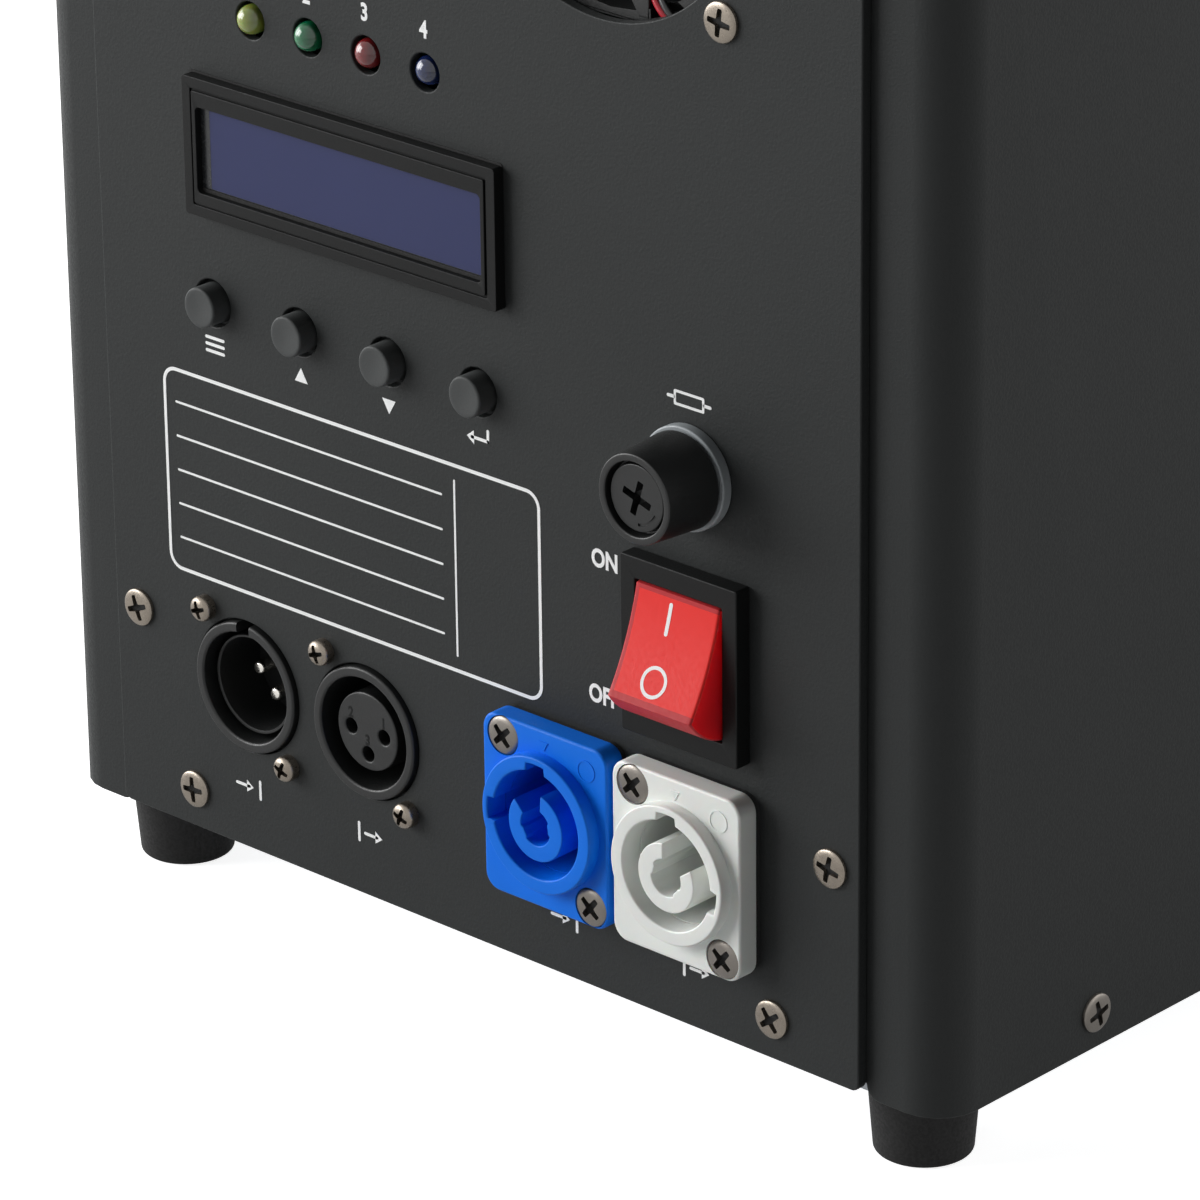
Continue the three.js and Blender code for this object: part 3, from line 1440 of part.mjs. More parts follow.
function lidHingePin() {
  const reach = knuckleLength / 2 + earSheet + 2 * seat;
  return join([
    rodX(hingeDepth, hingeHeight, pinRadius, -reach, reach),
    rodX(hingeDepth, hingeHeight, pinHeadRadius, reach, reach + pinHeadLength),
    rodX(hingeDepth, hingeHeight, pinHeadRadius, -reach - pinHeadLength, -reach),
  ]);
}

// Feed wheel, its housing, motor and bracket

function feedHousing() {
  const front = hopperSetback - feedFront;
  const rear = hopperSetback + feedBack;
  const body = block(-feedHalfWidth, feedHalfWidth, front, rear, feedBottom, neckBottom + neckSeatDepth);
  const top = neckBottom + neckSeatDepth + overrun;
  return cut(body, [
    rodZ(0, hopperSetback, hopperNeckRadius + seat, neckBottom - seat, top, roundSides),
    rodZ(0, hopperSetback, wheelRadius + runningGap, chamberFloor, top, wideSides),
    rodZ(0, hopperSetback, motorBossRadius + seat, feedBottom - overrun, chamberFloor + overrun),
    chuteTool(),
  ]);
}

function feedWheel() {
  const low = chamberFloor + seat;
  const high = low + wheelThickness;
  const disc = rodZ(0, hopperSetback, wheelRadius, low, high, wideSides);
  const pockets = [];
  for (let i = 0; i < wheelPockets; i += 1) {
    const angle = (i + 1 / 2) * fullTurn / wheelPockets;
    const x = wheelPocketSpread * Math.cos(angle);
    const y = hopperSetback + wheelPocketSpread * Math.sin(angle);
    pockets.push(rodZ(x, y, wheelPocketRadius, low - overrun, high + overrun, holeSides));
  }
  const bore = rodZ(0, hopperSetback, motorShaftRadius + seat, low - overrun, high + overrun);
  return cut(disc, [...pockets, bore]);
}

function feedMotor() {
  const top = shelfBottom - seat;
  const gearboxBottom = top - gearboxLength;
  const bottom = top - motorLength;
  const shaftTop = chamberFloor + seat + wheelThickness - motorShaftTip;
  return turnedZ([
    [0, bottom],
    [motorRadius - gearboxGroove, bottom],
    [motorRadius, bottom + gearboxGroove],
    [motorRadius, gearboxBottom - gearboxGroove],
    [motorRadius - gearboxGroove, gearboxBottom - gearboxGroove],
    [motorRadius - gearboxGroove, gearboxBottom],
    [motorRadius, gearboxBottom],
    [motorRadius, top],
    [motorBossRadius, top],
    [motorBossRadius, feedBottom + feedFloor / 2],
    [motorShaftRadius, feedBottom + feedFloor / 2],
    [motorShaftRadius, shaftTop],
    [0, shaftTop],
  ], 0, hopperSetback);
}

function feedBracket() {
  const front = hopperSetback - motorRadius + chuteWall + seat;
  const rear = hopperSetback + bracketBack;
  const shelf = block(-bracketHalfWidth, bracketHalfWidth, front, rear, shelfBottom, shelfTop);
  const low = trayTop + seat;
  const uprightSheet = block(-bracketHalfWidth, bracketHalfWidth, rear - bracketSheet, rear, low, shelfTop);
  const toe = block(-bracketHalfWidth, bracketHalfWidth, rear - bracketFoot, rear, low, low + bracketSheet);
  const bore = rodZ(0, hopperSetback, motorBossRadius + seat, shelfBottom - overrun, shelfTop + overrun);
  return cut(join([shelf, uprightSheet, toe]), [bore]);
}

// Boards on the side covers

function sideBoard(side, front, rear) {
  const outer = side * (innerHalfWidth - seat);
  const boardOuter = outer - side * boardStandoff;
  const boardInner = boardOuter - side * boardSheet;
  const [left, right] = [Math.min(boardOuter, boardInner), Math.max(boardOuter, boardInner)];
  const low = underside + boardBottom;
  const high = boardTop;
  const posts = [front + 2 * postInset, rear - 2 * postInset].flatMap((y) => (
    [low + 2 * postInset, high - 2 * postInset].map((z) => (
      rodX(y, z, postRadius, Math.min(outer, boardInner + side * boardSheet / 2),
        Math.max(outer, boardInner + side * boardSheet / 2))
    ))
  ));
  return { inner: boardInner, parts: [block(left, right, front, rear, low, high), ...posts], low, high };
}

function standingOn(side, inner, reach, front, rear, low, high) {
  const near = inner + side * boardSheet / 2;
  const far = inner - side * reach;
  return block(Math.min(near, far), Math.max(near, far), front, rear, low, high);
}

function powerBoard() {
  const board = sideBoard(-1, -powerBoardHalfDepth, powerBoardHalfDepth);
  const middle = (board.low + board.high) / 2;
  const half = transformerWidth / 2;
  const capacitors = [-1, 1].map((row) => {
    const z = middle + row * (capacitorRadius + capacitorGap);
    const [near, far] = [board.inner - boardSheet / 2, board.inner + capacitorLength];
    return rodX(-powerBoardHalfDepth / 2, z, capacitorRadius, near, far, roundSides);
  });
  const sinks = [-1, 1].map((row) => {
    const y = powerBoardHalfDepth - capacitorRadius + row * heatSinkSheet;
    return standingOn(-1, board.inner, heatSinkReach, y, y + heatSinkSheet, middle - half, middle + half);
  });
  return join([
    ...board.parts,
    standingOn(-1, board.inner, transformerDepth, -half / 2, half, middle - half, middle + half),
    ...capacitors,
    ...sinks,
  ]);
}

// The terminals of this board meet the two leads of the coil
function heaterBoard() {
  const board = sideBoard(1, heaterBoardFront, heaterBoardBack);
  const middle = (board.low + board.high) / 2;
  const reach = board.inner - coilLeadReach - seat;
  const leads = [
    [coilRadius, mixingTop + coilRise],
    [-coilRadius, mixingTop + coilRise + coilTurns * coilPitch],
  ];
  const terminals = leads.map(([y, z]) => standingOn(1, board.inner, reach,
    y - terminalWidth / 2, y + terminalWidth / 2, z - terminalWidth / 2, z + terminalWidth / 2));
  const capacitors = [-1, 1].map((row) => {
    const z = board.low + 2 * capacitorRadius + (row + 1) * (capacitorRadius + capacitorGap);
    const [near, far] = [board.inner - capacitorLength, board.inner + boardSheet / 2];
    return rodX(heaterBoardFront / 2, z, capacitorRadius, near, far, roundSides);
  });
  const sink = standingOn(1, board.inner, heatSinkReach, heaterBoardBack - 2 * capacitorRadius,
    heaterBoardBack - 2 * capacitorRadius + heatSinkSheet, board.low + capacitorRadius, middle);
  return join([...board.parts, ...terminals, ...capacitors, sink]);
}

// Pocket handle, set behind the opening of a side cover
function pocketHandle(side) {
  const z = gripCentre;
  const outer = innerHalfWidth - seat;
  const floor = halfWidth - gripDepth;
  const wide = gripWidth + 2 * gripFlangeMargin;
  const tall = gripHeight + 2 * gripFlangeMargin;
  const flange = across(roundedRectangle(0, z, wide, tall, gripRadius), [], outer - gripWall, outer);
  const cup = across(roundedRectangle(0, z, gripWidth + 2 * gripWall, gripHeight + 2 * gripWall,
    gripRadius + gripWall), [], floor - gripWall, outer - gripWall / 2);
  const hollow = across(roundedRectangle(0, z, gripWidth, gripHeight, gripRadius), [], floor,
    outer + overrun);
  const handle = cut(join([flange, cup]), [hollow]);
  return side < 0 ? handle.mirror([1, 0, 0]) : handle;
}

// Assembly

const machine = new THREE.Group();
machine.name = 'cold_spark_machine';

// The fuse cap stands out furthest, so the whole machine moves back by half of its reach
machine.position.y = frontReach / 2;

function place(name, body, material) {
  const mesh = new THREE.Mesh(geometryOf(body), material);
  mesh.name = name;
  machine.add(mesh);
}

// Tube, blower, hopper and feed are built about the tube axis, and keep their distance to the front panel
function placeInside(name, body, material) {
  place(name, body.translate([0, tubeDepth, 0]), material);
}

place('base_tray', baseTray(), bareSteel);
place('left_cover', sideCover(-1), paintedSteel);
place('right_cover', sideCover(1), paintedSteel);
place('control_panel', controlPanel(), paintedSteel);
place('front_panel', frontPanel(), paintedSteel);
place('top_plate', topPlate(), paintedSteel);

const footX = halfWidth - footInset;
const footY = halfDepth - footInset;
place('foot_panel_left', foot(-footX, -footY), blackRubber);
place('foot_panel_right', foot(footX, -footY), blackRubber);
place('foot_front_left', foot(-footX, footY), blackRubber);
place('foot_front_right', foot(footX, footY), blackRubber);

const lipScrew = panelHalfWidth - lipScrewInset;
const flangeScrew = panelHalfWidth - flangeScrewInset;
place('panel_screw_left', panelScrew(-lipScrew, lipScrewHeights()[0]), nickel);
place('panel_screw_right', panelScrew(lipScrew, lipScrewHeights()[0]), nickel);
place('panel_screw_low_left', panelScrew(-flangeScrew, flangeScrewHeights()[0]), nickel);
place('panel_screw_low_right', panelScrew(flangeScrew, flangeScrewHeights()[0]), nickel);

lampPlaces().forEach(([x, z], i) => {
  place(lampNames[i], lamp(x, z, lampRises[i]), finish(lampColours[i], 0.2, 0));
});
buttonPlaces().forEach(([x, z], i) => place(buttonNames[i], pushButton(x, z), blackPlastic));
place('display_bezel', displayBezel(), blackPlastic);
place('display_module', displayModule(), displayGlass);
place('control_board', controlBoard(), circuitBoard);

place('switch_frame', switchFrame(), blackPlastic);
place('switch_rocker', switchRocker(), redPlastic);
place('fuse_holder', fuseHolder(), blackPlastic);
place('fuse_cap', fuseCap(), blackPlastic);
place('fuse_cartridge', fuseCartridge(), clearGlass);

place('signal_in_shell', signalShell(signalInAcross), blackPlastic);
place('signal_in_pins', signalPins(signalInAcross), nickel);
place('signal_out_shell', signalShell(signalOutAcross), blackPlastic);
place('signal_out_insert', signalInsert(signalOutAcross), blackPlastic);
place('mains_in_socket', mainsSocket(mainsInAcross, mainsInKeys), bluePlastic);
place('mains_out_socket', mainsSocket(mainsOutAcross, mainsOutKeys), whitePlastic);

place('fan_frame', fanFrame(), blackPlastic);
place('fan_rotor', fanRotor(), blackPlastic);

placeInside('outlet_ring', outletRing(), bareSteel);
placeInside('heating_tube', heatingTube(), bareSteel);
placeInside('tube_sleeve', tubeSleeve(), ceramic);
placeInside('heater_coil', heaterCoil(), copper);
placeInside('mixing_block', mixingBlock(), aluminium);
placeInside('blower_housing', blowerHousing(), blackPlastic);
placeInside('blower_impeller', blowerImpeller(), blackPlastic);

placeInside('hopper', hopper(), bareSteel);
placeInside('hopper_seal', hopperSeal(), siliconeRed);
placeInside('hopper_lid', hopperLid(), paintedSteel);
placeInside('lid_hinge_base', lidHingeBase(), bareSteel);
placeInside('lid_hinge_pin', lidHingePin(), bareSteel);
placeInside('feed_housing', feedHousing(), aluminium);
placeInside('feed_wheel', feedWheel(), whitePlastic);
placeInside('feed_motor', feedMotor(), bareSteel);
placeInside('feed_bracket', feedBracket(), bareSteel);
placeInside('feed_chute', feedChute(), bareSteel);

place('power_board', powerBoard(), circuitBoard);
placeInside('heater_board', heaterBoard(), circuitBoard);
place('left_handle', pocketHandle(-1), blackPlastic);
place('right_handle', pocketHandle(1), blackPlastic);

export default machine;
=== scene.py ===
import math

import bmesh
import bpy
from mathutils import Matrix, Vector


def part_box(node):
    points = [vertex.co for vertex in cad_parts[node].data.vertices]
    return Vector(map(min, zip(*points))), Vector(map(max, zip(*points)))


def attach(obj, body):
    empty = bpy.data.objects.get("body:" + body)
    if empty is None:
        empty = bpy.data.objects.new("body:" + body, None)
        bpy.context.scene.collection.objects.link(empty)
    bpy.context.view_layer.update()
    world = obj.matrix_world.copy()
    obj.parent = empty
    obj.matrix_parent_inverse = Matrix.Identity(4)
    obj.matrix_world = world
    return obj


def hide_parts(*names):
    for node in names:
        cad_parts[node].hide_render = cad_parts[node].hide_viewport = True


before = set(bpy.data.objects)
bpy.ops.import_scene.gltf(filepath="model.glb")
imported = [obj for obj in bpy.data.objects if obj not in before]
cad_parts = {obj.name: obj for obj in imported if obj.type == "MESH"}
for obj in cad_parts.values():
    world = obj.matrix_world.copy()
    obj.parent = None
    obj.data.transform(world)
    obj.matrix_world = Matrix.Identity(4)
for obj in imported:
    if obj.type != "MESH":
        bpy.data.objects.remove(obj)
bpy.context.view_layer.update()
scene = bpy.context.scene
toMetres = Matrix.Scale(0.001, 4)
print("frame loaded")

# Camera: stands off to the right of the control panel and looks a little down
cameraView = {
    "place": (0.7210, -0.8306, 0.5179),
    "turn": (66.7857, 0.6234, 42.9033),
    "lens": 207.47,
    "sensor": 36,
}
cameraData = bpy.data.cameras.new("camera")
cameraData.lens = cameraView["lens"]
cameraData.sensor_width = cameraView["sensor"]
camera = bpy.data.objects.new("camera", cameraData)
camera.location = cameraView["place"]
camera.rotation_euler = [math.radians(angle) for angle in cameraView["turn"]]
scene.collection.objects.link(camera)
scene.camera = camera

# A local frame on each side of the housing: x runs along the face, y up, z out of the face
upRight = Matrix.Rotation(math.radians(90), 4, "X")
sides = {
    "panel": upRight,
    "front": Matrix.Rotation(math.radians(180), 4, "Z") @ upRight,
    "right": Matrix.Rotation(math.radians(90), 4, "Z") @ upRight,
    "left": Matrix.Rotation(math.radians(-90), 4, "Z") @ upRight,
    "top": Matrix.Identity(4),
}

# Faces and levels of the housing, in mm
housing = {
    "panelY": -93.3,
    "frontY": 106.7,
    "middleY": 6.7,
    "sideX": 100,
    "panelLow": 15,
    "panelHigh": 247,
    "top": 248.5,
}
panelY = housing["panelY"]
panelLow = housing["panelLow"]


# Materials

def toLinear(hexColour):
    values = [int(hexColour[i:i + 2], 16) / 255 for i in (1, 3, 5)]
    return tuple(v / 12.92 if v <= 0.04045 else ((v + 0.055) / 1.055) ** 2.4 for v in values) + (1,)


def addNode(tree, kind, settings=None, links=None):
    node = tree.nodes.new("ShaderNode" + kind)
    for key, value in (settings or {}).items():
        if isinstance(key, str) and hasattr(node, key):
            setattr(node, key, value)
        else:
            node.inputs[key].default_value = value
    for key, (source, output) in (links or {}).items():
        tree.links.new(source.outputs[output], node.inputs[key])
    return node


def perMetre(sizeMm):
    return 1000 / sizeMm


# Every surface: two close colours in clouds, a roughness that varies, and a fine grain. The grain is drawn a
# little coarser than the real one where that is too fine to see from the camera.
def surface(name, look):
    material = bpy.data.materials.new(name)
    material.use_nodes = True
    tree = material.node_tree
    tree.nodes.clear()
    place = addNode(tree, "TexCoord")
    where = (place, "Object")
    if "streak" in look:  # brushed or drawn finishes run one way
        where = (addNode(tree, "Mapping", {"Scale": look["streak"]}, {"Vector": where}), "Vector")
    cloud = addNode(tree, "TexNoise", {"Scale": perMetre(look["cloudMm"]), "Detail": 3}, {"Vector": (place, "Object")})
    grain = addNode(tree, "TexNoise", {"Scale": perMetre(look["grainMm"]), "Detail": 2}, {"Vector": where})
    colour = addNode(tree, "Mix", {"data_type": "RGBA", 6: toLinear(look["colour"]), 7: toLinear(look["second"])},
                     {0: (cloud, "Fac")})
    low, high = look["roughness"]
    rough = addNode(tree, "MapRange", {"From Min": 0.35, "From Max": 0.65, "To Min": low, "To Max": high},
                    {"Value": (grain, "Fac")})
    bump = addNode(tree, "Bump", {"Strength": look["bump"], "Distance": look["grainMm"] * 0.0002},
                   {"Height": (grain, "Fac")})
    body = addNode(tree, "BsdfPrincipled", look["shader"],
                   {"Base Color": (colour, 2), "Roughness": (rough, "Result"), "Normal": (bump, "Normal")})
    addNode(tree, "OutputMaterial", {}, {"Surface": (body, "BSDF")})
    return material


# Two colours, roughness from and to, bump, sizes of grain and clouds, shader settings, stretch of a brushed grain
columns = ("colour", "second", "roughness", "bump", "grainMm", "cloudMm", "shader", "streak")
finishes = {
    # Steel sheet, textured powder coat: satin black, with a fine sandy grain that greys it in the light
    "powderCoat": ("#252727", "#2b2d2d", (0.46, 0.6), 0.55, 0.45, 40, {"IOR": 1.5, "Specular IOR Level": 0.2}),
    # ABS, moulded with a fine spark-eroded grain: darker than the coat, a little shinier
    "abs": ("#121313", "#171818", (0.34, 0.48), 0.25, 0.3, 12, {"IOR": 1.53, "Specular IOR Level": 0.38}),
    # ABS, moulded matt: bezel of the display and frame of the switch, the darkest plastic here
    "mattAbs": ("#070808", "#0b0c0c", (0.42, 0.56), 0.25, 0.3, 12, {"IOR": 1.53, "Specular IOR Level": 0.16}),
    # ABS keys, moulded in the panel's own grey black
    "keyAbs": ("#424444", "#474949", (0.5, 0.62), 0.3, 0.35, 5, {"IOR": 1.53, "Specular IOR Level": 0.2}),
    # Glass-filled nylon, moulded: black sockets with a satin rim
    "nylon": ("#141515", "#1b1c1c", (0.36, 0.52), 0.3, 0.35, 9, {"IOR": 1.53, "Specular IOR Level": 0.36}),
    # The same nylon coloured grey: flange of the fuse holder
    "greyNylon": ("#9da3a6", "#959b9e", (0.36, 0.5), 0.25, 0.35, 9, {"IOR": 1.53}),
    # The same nylon coloured blue for the mains inlet: even, waxy sheen
    "blueNylon": ("#0070e8", "#0076ec", (0.42, 0.54), 0.14, 0.4, 8, {"IOR": 1.53, "Specular IOR Level": 0.2}),
    # The same nylon coloured white for the mains outlet
    "whiteNylon": ("#f2f4f0", "#ebeeea", (0.3, 0.42), 0.14, 0.4, 8,
                   {"IOR": 1.53, "Subsurface Weight": 0.1, "Subsurface Scale": 0.001}),
    # Rubber, compression moulded: matt, slightly dusty black; the same black paints shade in screw recesses and the
    # display
    "rubber": ("#191919", "#202020", (0.62, 0.8), 0.35, 0.5, 6, {"IOR": 1.52, "Specular IOR Level": 0.25}),
    # Polycarbonate, dyed red and polished: glossy face; the sides and the clear border follow
    "redPolycarbonate": ("#ee2a25", "#f2332d", (0.45, 0.55), 0.08, 0.6, 10, {"IOR": 1.58, "Specular IOR Level": 0.15}),
    # Sides: a brighter red with strong subsurface, partly real translucency and partly painted glow of light through
    # the body
    "redPolycarbonatePaintedGlow": ("#ff1024", "#f81426", (0.3, 0.42), 0.2, 0.5, 5,
                             {"IOR": 1.58, "Subsurface Weight": 1, "Subsurface Scale": 0.007}),
    "redPolycarbonateRim": ("#bb2c30", "#c03338", (0.45, 0.55), 0.05, 0.6, 4,
                            {"IOR": 1.58, "Specular IOR Level": 0.15}),
    # Nickel plate on pressed screw heads: warm grey metal with fine tumbling marks
    "nickel": ("#968d82", "#80786e", (0.26, 0.44), 0.3, 0.25, 2, {"Metallic": 1}),
    # Silver plate on the contact pins: bright, with clear glints
    "silver": ("#f2efe8", "#e6e2da", (0.1, 0.2), 0.1, 0.3, 2, {"Metallic": 1}),
    # Zinc-nickel plate, duller: screws of the mains sockets and the housing
    "dullNickel": ("#85807a", "#75706a", (0.32, 0.46), 0.3, 0.3, 2, {"Metallic": 1}),
    # Stainless steel, turned and brushed round the outlet
    "stainless": ("#c4c3c0", "#b4b3b0", (0.24, 0.4), 0.25, 0.4, 9, {"Metallic": 1}, (1, 1, 9)),
    # Zinc-plated steel sheet: bluish, cloudy metal
    "zinc": ("#a9adb1", "#8f9499", (0.34, 0.55), 0.2, 0.8, 5, {"Metallic": 1}),
    # Aluminium, milled blocks
    "aluminium": ("#b9bbbd", "#a6a8aa", (0.3, 0.46), 0.25, 0.5, 7, {"Metallic": 1}, (1, 7, 1)),
    # Copper tube, drawn and slightly tarnished by heat
    "copper": ("#b87045", "#8e5136", (0.26, 0.44), 0.15, 0.7, 6, {"Metallic": 1}),
    # Alumina sleeve, fired and unglazed: chalky
    "ceramic": ("#dad6ca", "#cbc6b8", (0.62, 0.8), 0.4, 0.6, 8, {"IOR": 1.6}),
    # Silicone seal, moulded red
    "silicone": ("#8e3a30", "#7f332b", (0.5, 0.66), 0.2, 0.6, 5, {"IOR": 1.43}),
    # Glass fibre board with green solder mask
    "circuitBoard": ("#1c5a36", "#26693f", (0.28, 0.5), 0.5, 1.2, 3, {"IOR": 1.5, "Coat Weight": 0.3}),
    # Fuse glass
    "fuseGlass": ("#cfd8d8", "#bfcaca", (0.05, 0.12), 0.05, 0.8, 4, {"IOR": 1.5, "Transmission Weight": 0.6}),
    # Epoxy ink, screen printed: matt white with a faintly uneven edge
    "whiteInk": ("#ffffff", "#f4f6f5", (0.5, 0.7), 0.2, 0.3, 5, {"IOR": 1.5, "Specular IOR Level": 0.3}),
    # Display: smoked cover film round the cell, and the blue cell itself behind its polariser
    "displayFilm": ("#2a2c2e", "#2f3133", (0.2, 0.3), 0.02, 0.8, 14, {"IOR": 1.49}),
    "displayCell": ("#272e5b", "#2b325f", (0.16, 0.24), 0.02, 0.6, 22, {"IOR": 1.52, "Specular IOR Level": 0.3}),
    # PVC wire insulation
    "redWire": ("#c4122a", "#b30f25", (0.24, 0.36), 0.1, 0.8, 6, {"IOR": 1.53}),
    "blackWire": ("#151515", "#1b1b1b", (0.28, 0.4), 0.1, 0.8, 6, {"IOR": 1.53}),
}
lampColours = {  # dyed epoxy domes: glossy, deep in colour, light enters them
    "power": ("#7f8f36", "#98a64c"),
    "signal": ("#0b6a41", "#15784c"),
    "error": ("#74171a", "#842024"),
    "heat": ("#121f4c", "#1a2a5c"),
}
for lampName, (deep, pale) in lampColours.items():
    finishes[lampName + "Epoxy"] = (
        deep, pale, (0.06, 0.1), 0.02, 1, 2,
        {"IOR": 1.52, "Coat Weight": 0.5, "Subsurface Weight": 0.3, "Subsurface Scale": 0.002})
materials = {name: surface(name, dict(zip(columns, row))) for name, row in finishes.items()}
print("materials made")


# Outlines and meshes, in mm

def arc(radius, degrees):
    return [(radius * math.cos(math.radians(angle)), radius * math.sin(math.radians(angle))) for angle in degrees]


def circle(x, y, radius, steps=56):
    return [(x + radius * math.cos(2 * math.pi * i / steps), y + radius * math.sin(2 * math.pi * i / steps))
            for i in range(steps)]


def rounded(points, radius, steps=5, closed=True):
    out = []
    count = len(points)
    for i, point in enumerate(points):
        if not closed and i in (0, count - 1):
            out.append(tuple(point))
            continue
        here = Vector(point)
        before = Vector(points[i - 1]) - here
        after = Vector(points[(i + 1) % count]) - here
        half = before.angle(after) / 2
        run = min(radius / math.tan(half), 0.49 * before.length, 0.49 * after.length) if half > 0.01 else 0
        if half > 1.45 or run <= 0:
            out.append(tuple(point))
            continue
        a, b = here + before.normalized() * run, here + after.normalized() * run
        bow = run * math.tan(half)
        centre = here + (before.normalized() + after.normalized()).normalized() * (run / math.cos(half))
        for k in range(steps + 1):
            spoke = (a - centre).normalized().slerp((b - centre).normalized(), k / steps)
            out.append(tuple(centre + spoke * bow))
    return out


def box(x, y, width, height, radius=0, steps=5):
    corners = [(x - width / 2, y - height / 2), (x + width / 2, y - height / 2),
               (x + width / 2, y + height / 2), (x - width / 2, y + height / 2)]
    return rounded(corners, radius, steps) if radius else corners


def moved(points, x, y, turn=0):
    c, s = math.cos(turn), math.sin(turn)
    return [(x + c * u - s * v, y + s * u + c * v) for u, v in points]


# A cross for a driver, its arms narrowing to a share of their width
def crossOutline(arm, half, share=1):
    tip = half * share
    return [(half, half), (arm, tip), (arm, -tip), (half, -half), (tip, -arm), (-tip, -arm), (-half, -half),
            (-arm, -tip), (-arm, tip), (-half, half), (-tip, arm), (tip, arm)]


# The mesh that a curve comes to
def meshOf(curve):
    holder = bpy.data.objects.new("curve", curve)
    scene.collection.objects.link(holder)
    mesh = bpy.data.meshes.new_from_object(holder.evaluated_get(bpy.context.evaluated_depsgraph_get()))
    bpy.data.objects.remove(holder)
    bpy.data.curves.remove(curve)
    return mesh


def written(work, name):
    mesh = bpy.data.meshes.new(name)
    work.to_mesh(mesh)
    work.free()
    return mesh


def shifted(mesh, x, y, z=0):
    mesh.transform(Matrix.Translation((x, y, z)))
    return mesh


# A flat outline with holes between two levels, its edges rounded by a given amount
def plate(loops, low, high, edge=0, steps=2):
    curve = bpy.data.curves.new("outline", "CURVE")
    curve.dimensions = "2D"
    curve.fill_mode = "BOTH"
    for loop in loops:
        spline = curve.splines.new("POLY")
        spline.points.add(len(loop) - 1)
        for point, (u, v) in zip(spline.points, loop):
            point.co = (u, v, 0, 1)
        spline.use_cyclic_u = True
    curve.extrude = (high - low) / 2 - edge
    curve.bevel_depth = edge
    curve.bevel_resolution = steps
    curve.offset = -edge
    return shifted(meshOf(curve), 0, 0, (low + high) / 2)


# A profile of radius and height, turned about the z axis
def turned(profile, steps=72):
    work = bmesh.new()
    rings = []
    for radius, height in profile:
        if radius < 0.0001:
            rings.append([work.verts.new((0, 0, height))] * steps)
        else:
            rings.append([work.verts.new((u, v, height)) for u, v in circle(0, 0, radius, steps)])
    for lower, upper in zip(rings, rings[1:]):
        for i in range(steps):
            k = (i + 1) % steps
            corners = list(dict.fromkeys((lower[i], lower[k], upper[k], upper[i])))
            if len(corners) > 2:
                work.faces.new(corners)
    bmesh.ops.remove_doubles(work, verts=work.verts, dist=0.0005)
    bmesh.ops.recalc_face_normals(work, faces=work.faces)
    return written(work, "turned")


# One mesh less another
def carved(mesh, tool):
    pair = [bpy.data.objects.new("carve", part) for part in (mesh, tool)]
    for part in pair:
        scene.collection.objects.link(part)
    cut = pair[0].modifiers.new("cut", "BOOLEAN")
    cut.solver = "EXACT"
    cut.object = pair[1]
    result = bpy.data.meshes.new_from_object(pair[0].evaluated_get(bpy.context.evaluated_depsgraph_get()))
    for part in pair:
        bpy.data.objects.remove(part)
    return result


# Letters and figures, centred on their place
def lettering(text, height, thick=0.05):
    curve = bpy.data.curves.new("lettering", "FONT")
    curve.body = text
    curve.size = height / 0.72
    curve.align_x = "CENTER"
    curve.offset = 0.045 * height
    curve.extrude = thick / 2
    curve.resolution_u = 4
    mesh = meshOf(curve)
    mesh.transform(Matrix.Translation((0, -height / 2, thick / 2)) @ Matrix.Scale(0.84, 4, (1, 0, 0)))
    return mesh


# Joins meshes into one piece, sets it on a side of the housing and hangs it on a body
def addPiece(name, body, parts, at=(0, 0, 0), side="panel", replaced=(), sharp=35, turn=0):
    whole = bmesh.new()
    used = []
    for mesh, finish in parts:
        if finish not in used:
            used.append(finish)
        first = len(whole.faces)
        whole.from_mesh(mesh)
        whole.faces.ensure_lookup_table()
        for face in whole.faces[first:]:
            face.material_index = used.index(finish)
            face.smooth = True
    whole.transform(toMetres @ Matrix.Translation(at) @ sides[side] @ Matrix.Rotation(turn, 4, "Z"))
    bmesh.ops.remove_doubles(whole, verts=whole.verts, dist=0.0000005)
    mesh = written(whole, name)
    for finish in used:
        mesh.materials.append(materials[finish])
    mesh.set_sharp_from_angle(angle=math.radians(sharp))
    piece = bpy.data.objects.new(name, mesh)
    scene.collection.objects.link(piece)
    keepFlat(piece)
    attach(piece, body)
    if replaced:
        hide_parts(*replaced)
    return piece


# Wide faces keep their own normals, so that only the rounded edges catch the light
def keepFlat(piece):
    weighted = piece.modifiers.new("flat faces", "WEIGHTED_NORMAL")
    weighted.weight = 100
    weighted.keep_sharp = True


def addBevel(piece, edge, degrees, harden=False):
    bevel = piece.modifiers.new("edges", "BEVEL")
    bevel.width = edge / 1000
    bevel.segments = 2
    bevel.angle_limit = math.radians(degrees)
    bevel.harden_normals = harden


# A frame node drawn again with welded vertices and a small round on its edges, less a tool's shape if one is given
def addRefined(node, finish, edge, tool=None):
    work = bmesh.new()
    work.from_mesh(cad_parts[node].data)
    bmesh.ops.remove_doubles(work, verts=work.verts, dist=0.000002)
    bmesh.ops.dissolve_limit(work, angle_limit=math.radians(0.4), verts=work.verts, edges=work.edges)
    for face in work.faces:
        face.smooth = True
    mesh = written(work, node)
    if tool:
        mesh = carved(mesh, tool)
    mesh.materials.clear()
    mesh.materials.append(materials[finish])
    mesh.set_sharp_from_angle(angle=math.radians(32))
    piece = bpy.data.objects.new(node.replace("_", "") + "Sheet", mesh)
    scene.collection.objects.link(piece)
    addBevel(piece, edge, 32)
    keepFlat(piece)
    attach(piece, "machine")
    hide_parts(node)


# Control panel and front panel: 2 mm sheet with punched holes and slightly broken edges

